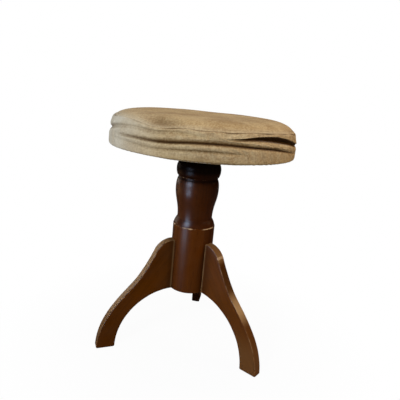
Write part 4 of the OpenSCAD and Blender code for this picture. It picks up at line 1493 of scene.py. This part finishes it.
def floor_material(colour):
    """A pale floor that keeps the object's shadow and turns to plain white further out."""
    made, tree = new_material("pale_floor")
    place = tree.place()
    flat = tree.add("VectorMath", {0: place, 1: (1.0, 1.0, 0.0)}, operation="MULTIPLY").outputs[0]
    away = tree.add("VectorMath", {0: flat}, operation="LENGTH").outputs["Value"]
    speck = tree.spread(tree.noise(place, 8.0, 3.0), 0.3, 0.7, 0.97, 1.0)
    tint = tree.mix(speck, opaque(colour, 0.96), opaque(colour))
    matt = tree.add("BsdfDiffuse", {"Color": tint, "Roughness": 0.6})
    white = tree.add("Emission", {"Color": WHITE, "Strength": 1.0})
    share = tree.times(tree.spread(away, 0.15, 0.4, 0.965, 1.0), background_share(tree))
    tree.finish({0: share, 1: matt.outputs[0], 2: white.outputs[0]}, "MixShader")
    return made


def flag_material():
    """A nearly black cloth that hangs at the dark side of the room, out of the camera's sight."""
    made, tree = new_material("black_cloth")
    weave = tree.spread(tree.noise(tree.place(), 40.0, 3.0), 0.3, 0.7)
    tint = tree.mix(weave, (0.012, 0.01, 0.008, 1.0), (0.03, 0.026, 0.022, 1.0))
    tree.finish({"Color": tint, "Roughness": 0.8}, "BsdfDiffuse")
    return made


def stage_plane(name, corners, stuff):
    """One face of the surroundings, such as the floor."""
    mesh = bpy.data.meshes.new(name)
    mesh.from_pydata(corners, [], [(0, 1, 2, 3)])
    mesh.materials.append(stuff)
    plane = in_scene(name, mesh)
    return plane


def add_sky(strength):
    """Even light from all round, behind a plain white that the camera and mirrors see."""
    world = bpy.context.scene.world = bpy.data.worlds.new("sky")
    tree = empty_tree(world)
    light = tree.add("Background", {"Color": WHITE, "Strength": strength})
    white = tree.add("Background", {"Color": WHITE, "Strength": 1.0})
    values = {0: background_share(tree), 1: light.outputs[0], 2: white.outputs[0]}
    tree.finish(values, "MixShader", "OutputWorld")


def add_camera():
    """The photograph's camera."""
    lens = bpy.data.cameras.new("camera")
    lens.sensor_width = SENSOR_MM
    lens.lens = FOCAL_PIXELS / IMAGE_PIXELS * SENSOR_MM
    lens.clip_start, lens.clip_end = 0.01, 100
    camera = bpy.context.scene.camera = in_scene("camera", lens)
    camera.matrix_world = Matrix.Translation(CAMERA_PLACE) @ camera_turn().to_4x4()


def add_lamp(name, place, target, size, power, colour, mirrored_only):
    """An area lamp of a width and a height at a place, facing a target.

    A lamp that is mirrored only shows in the gloss of the lacquered pieces and nowhere else.
    """
    light = bpy.data.lights.new(name, "AREA")
    light.shape = "RECTANGLE"
    light.size, light.size_y = size
    light.energy = power
    light.color = colour
    lamp = in_scene(name, light)
    lamp.location = place
    lamp.rotation_euler = (Vector(target) - Vector(place)).to_track_quat("-Z", "Y").to_euler()
    lamp.visible_camera = False
    lamp.visible_diffuse = not mirrored_only
    if mirrored_only:
        lamp.light_linking.receiver_collection = lacquered()


class STOOL_OT_stage(bpy.types.Operator):
    """Adds the floor, the lamps, the sky and the camera"""

    bl_idname = "stool.stage"
    bl_label = "Stage"

    def execute(self, context):
        settings = context.scene.stool_stage
        stage_plane("floor", FLOOR, floor_material(settings.floor_colour))
        stage_plane("dark_side", DARK_SIDE, flag_material()).visible_camera = False
        for name, (place, target, size, setting, share, colour) in LAMPS.items():
            power = getattr(settings, setting) * share
            add_lamp(name, place, target, size, power, colour, setting == "card_power")
        add_sky(settings.sky)
        add_camera()
        context.scene.view_settings.view_transform = "Standard"
        return {"FINISHED"}


class STOOL_OT_legs(bpy.types.Operator):
    """Builds the three sabre legs and finishes their dowels"""

    bl_idname = "stool.legs"
    bl_label = "Legs"

    def execute(self, context):
        wood = context.scene.stool_wood
        grid, wear, dark = leg_section_grid(wood.arris, wood.foot_round)
        lean, slope = np.sin(GRAIN_LEAN), np.cos(GRAIN_LEAN)
        along = grid[..., 0] * slope - grid[..., 2] * lean
        across = grid[..., 0] * lean + grid[..., 2] * slope
        stain = lacquered_wood("leg_wood", wood, wood.leg_colour, 0.62)
        for number, (name, angle) in enumerate(zip(LEG_MARKS, LEG_ANGLES)):
            table, sole, above, below, worn, edge_shade = LEG_MARKS[name]
            # Painted shade: darker above and at the foot, most at the rear leg's foot
            black = above + (below - above) * smooth((110 * MM - grid[..., 2]) / (80 * MM))
            # dark holds painted shade near the hub, above and at the foot, and on the right leg's outer
            # edge
            kept = {
                "grain": np.stack([across + number, grid[..., 1], along], axis=2),
                "wear": np.concatenate([wear[:1] * worn, wear[1:2], wear[2:] * worn]),
                "dark": np.max([dark, black, outer_edge_amounts(grid, edge_shade, 0)], axis=0),
                "dulled_and_lit": outer_edge_amounts(grid, table, sole),
            }
            shape = turned_points(grid, angle)
            piece = dress(f"leg_{name}", "base", f"leg_{name}_sabre", shape, stain, layers=kept)
            lacquered().objects.link(piece)
        finish_node("leg_dowels", raw_wood("dowel_wood", (0.55, 0.36, 0.19), (0.40, 0.24, 0.12)))
        return {"FINISHED"}


class STOOL_OT_hub(bpy.types.Operator):
    """Builds the turned hub with its housings and worn rims"""

    bl_idname = "stool.hub"
    bl_label = "Hub"

    def execute(self, context):
        wood = context.scene.stool_wood
        grid, wear = hub_grid(wood.rim, wood.chip)
        stain = lacquered_wood("hub_wood", wood, wood.hub_colour, 0.62)
        kept = {"grain": grid, "wear": wear, "dark": hub_painted_shade(grid), "dulled_and_lit": 0 * wear}
        lacquered().objects.link(dress("hub", "base", "hub_turned", grid, stain, layers=kept))
        return {"FINISHED"}


class STOOL_OT_column(bpy.types.Operator):
    """Builds the turned column with its ring, vase, groove and bead"""

    bl_idname = "stool.column"
    bl_label = "Column"

    def execute(self, context):
        wood = context.scene.stool_wood
        profile, wear, dark = column_profile()
        grid = revolve(profile, COLUMN_SIDES)
        stain = lacquered_wood("column_wood", wood, wood.column_colour, 0.5)
        # The worn lines at the ring and under the bead are palest towards the window lamp: worn edges,
        # and a painted highlight
        palest_to_window = 0.6 + 0.4 * np.cos(ring_angles(COLUMN_SIDES) + np.radians(130))
        kept = {
            "grain": grid + [0.3, 0, 0],
            "dulled_and_lit": np.zeros(grid.shape[:2]),
            "wear": wear[:, None] * palest_to_window,
            "dark": np.repeat(dark[:, None], COLUMN_SIDES, axis=1),
        }
        piece = dress("column", "base", "column_turned", grid, stain, loop=True, layers=kept)
        lacquered().objects.link(piece)
        return {"FINISHED"}


class STOOL_OT_screw(bpy.types.Operator):
    """Builds the threaded screw and washer, and finishes the nut, stop and pin"""

    bl_idname = "stool.screw"
    bl_label = "Screw"

    def execute(self, context):
        screw = context.scene.stool_screw
        steel = bright_steel(screw)
        grid = screw_grid(screw.pitch, screw.thread_depth)
        dress("spindle", "seat", "screw_threaded", grid, steel, crease=60)
        for name in ("spindle_pin", "stop_collar", "stop_screw"):
            finish_node(name, steel)
        iron = aged_metal(
            "black_iron", screw.iron_colour, (0.075, 0.055, 0.042), 0.45, 1100.0, 0.6, 0.12 * MM
        )
        for name in ("nut", "seat_plate"):
            finish_node(name, iron)
        angles = [LEG_ANGLES[0] + 60 + 120 * k for k in range(3)]
        shape = slotted_screw(4 * MM, 22 * MM, screw.slot)
        pieces = placed(shape, 22.5 * MM, COLUMN_TOP, angles, True, 3)
        dress("nut_screws", "base", "nut_screws_slotted", pieces, steel, crease=30)
        low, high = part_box("thrust_washer")
        leather = soft_stuff(
            "washer_leather", (0.20, 0.105, 0.05), (0.10, 0.05, 0.025), 240.0, 0.15 * MM, 0.0
        )
        ring = ring_grid(12.1 * MM, high.x, low.z, high.z, 0.9 * MM)
        dress("thrust_washer", "riser", "washer_ring", ring, leather, loop=True)
        return {"FINISHED"}


class STOOL_OT_seat_frame(bpy.types.Operator):
    """Finishes the seat's board, and builds its screws and tacks"""

    bl_idname = "stool.seat_frame"
    bl_label = "Seat Frame"

    def execute(self, context):
        screw = context.scene.stool_screw
        board = raw_wood(
            "board_wood", (0.44, 0.29, 0.15), (0.27, 0.165, 0.08), turn=(0.0, np.radians(90), 0.35)
        )
        finish_node("seat_board", board)
        shape = slotted_screw(5 * MM, 19 * MM, screw.slot * 1.3)
        angles = [LEG_ANGLES[0] + 45 + 90 * k for k in range(4)]
        pieces = placed(shape, 65 * MM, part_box("plate_screws")[0].z, angles, False, 9)
        steel = bright_steel(screw)
        dress("plate_screws", "seat", "plate_screws_slotted", pieces, steel, crease=30)
        lift, pull = quarter(7)
        dome = np.column_stack([TACK_HEAD_R * (1 - lift), -1.6 * MM * (1 - pull)])[1:]
        shank = [[0.7 * MM, 0], [0.7 * MM, 8 * MM], [0.1 * MM, 9.4 * MM]]
        tack = revolve(np.vstack([dome, shank]), 20)
        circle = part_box("cover_tacks")[1].x - TACK_HEAD_R
        pieces = placed(tack, circle, LINING_BOTTOM, range(0, 360, 15), False, 5)
        brass = aged_metal("tack_brass", (0.42, 0.29, 0.13), (0.12, 0.085, 0.05), 0.34)
        dress("cover_tacks", "seat", "tacks_domed", pieces, brass, crease=50)
        return {"FINISHED"}


class STOOL_OT_padding(bpy.types.Operator):
    """Builds the foam, the wadding and the tacked inner cover"""

    bl_idname = "stool.padding"
    bl_label = "Padding"

    def execute(self, context):
        foam = soft_stuff("pad_foam", (0.80, 0.68, 0.40), (0.66, 0.52, 0.26), 420.0, 0.3 * MM, 0.0)
        fluff = soft_stuff("wadding_fluff", (0.86, 0.85, 0.81), (0.72, 0.70, 0.65), 90.0, 1.2 * MM, 0.4)
        calico = soft_stuff(
            "inner_calico", (0.62, 0.56, 0.44), (0.50, 0.44, 0.33), 260.0, 0.25 * MM, 0.2
        )
        # Each layer: its node, its piece, its stuff and its fill. Then in millimetres how far it lies
        # inside the cover, its thickness if it is a shell, and how far it turns in under the board.
        layers = (
            ("foam_pad", "foam_pad_domed", foam, 0.8, 9, 0, 0),
            ("wadding", "wadding_layer", fluff, 0.5, 3.7, 4.6, 0),
            ("inner_cover", "inner_cover_tacked", calico, 0.7, 2.1, 1.1, 30),
        )
        for node, name, stuff, fill, gap, thick, turn_in in layers:
            low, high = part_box(node)
            sizes = high.x, high.z, low.z, gap * MM, thick * MM, turn_in * MM
            piece = dress(node, "seat", name, layer_grid(context.scene.stool_cover, *sizes), stuff)
        return {"FINISHED"}


class STOOL_OT_cover(bpy.types.Operator):
    """Builds the loose cover: its top panel, its folded band and the elastic in its hem"""

    bl_idname = "stool.cover"
    bl_label = "Loose Cover"

    def execute(self, context):
        cover = context.scene.stool_cover

        def round_ribs(tree, place):
            parts = tree.add("SeparateXYZ", {0: place}).outputs
            angle = tree.math("ARCTAN2", parts[1], parts[0])
            return tree.times(angle, float(cover.rib_count))

        def straight_ribs(tree, place):
            turned = tree.add("Mapping", {"Vector": place, "Rotation": (0.0, 0.0, -0.108)})
            across = tree.add("SeparateXYZ", {0: turned.outputs[0]}).outputs[0]
            return tree.times(across, cover.rib_count / LOWER_R)

        # Each part: its node, its piece, its shape, its ribs, its sheen, whether its section closes on
        # itself, and its fill
        parts = (
            ("top", "top_panel", top_panel_grid, straight_ribs, 0.05, False, 0.6),
            ("band", "band_folded", band_grid, round_ribs, 0.08, True, 0.5),
        )
        for part, form, shape, ribs, sheen, loop, fill in parts:
            grid, wear, crease = shape(cover)
            cloth = cover_cloth(f"cover_cloth_{part}", cover, ribs, sheen)
            looks = {"loop": loop, "crease": 80, "layers": {"wear": wear, "crease": crease}}
            piece = dress(f"cover_{part}", "seat", f"cover_{form}", grid, cloth, **looks)
        rubber = soft_stuff("hem_elastic_weave", (0.80, 0.79, 0.74), (0.62, 0.60, 0.55), 700.0, 0.2 * MM)
        low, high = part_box("hem_elastic")
        ring = ring_grid(high.x - 6 * MM, high.x, low.z, high.z, 0.4 * MM, 240)
        dress("hem_elastic", "seat", "hem_elastic_band", ring, rubber, loop=True)
        return {"FINISHED"}


OPERATORS = (
    STOOL_OT_stage, STOOL_OT_legs, STOOL_OT_hub, STOOL_OT_column,
    STOOL_OT_screw, STOOL_OT_seat_frame, STOOL_OT_padding, STOOL_OT_cover,
)


class STOOL_PT_panel(bpy.types.Panel):
    """Lists the stool's pieces and its stage."""

    bl_idname = "STOOL_PT_panel"
    bl_label = "Piano Stool"
    bl_space_type = "VIEW_3D"
    bl_region_type = "UI"
    bl_category = "Stool"

    def draw(self, context):
        for operator in OPERATORS:
            self.layout.operator(operator.bl_idname)
        for settings in SETTINGS:
            box = self.layout.box()
            group = getattr(context.scene, settings)
            for name in group.__annotations__:
                box.prop(group, name)


SETTINGS = {
    "stool_wood": StoolWood, "stool_screw": StoolScrew,
    "stool_cover": StoolCover, "stool_stage": StoolStage,
}
CLASSES = (*SETTINGS.values(), *OPERATORS, STOOL_PT_panel)


def register():
    for made in CLASSES:
        bpy.utils.register_class(made)
    for name, group in SETTINGS.items():
        setattr(bpy.types.Scene, name, PointerProperty(type=group))


def unregister():
    for name in SETTINGS:
        delattr(bpy.types.Scene, name)
    for made in reversed(CLASSES):
        bpy.utils.unregister_class(made)


def main():
    register()
    for operator in OPERATORS:
        group, _, action = operator.bl_idname.partition(".")
        getattr(getattr(bpy.ops, group), action)()


if __name__ == "__main__":
    main()
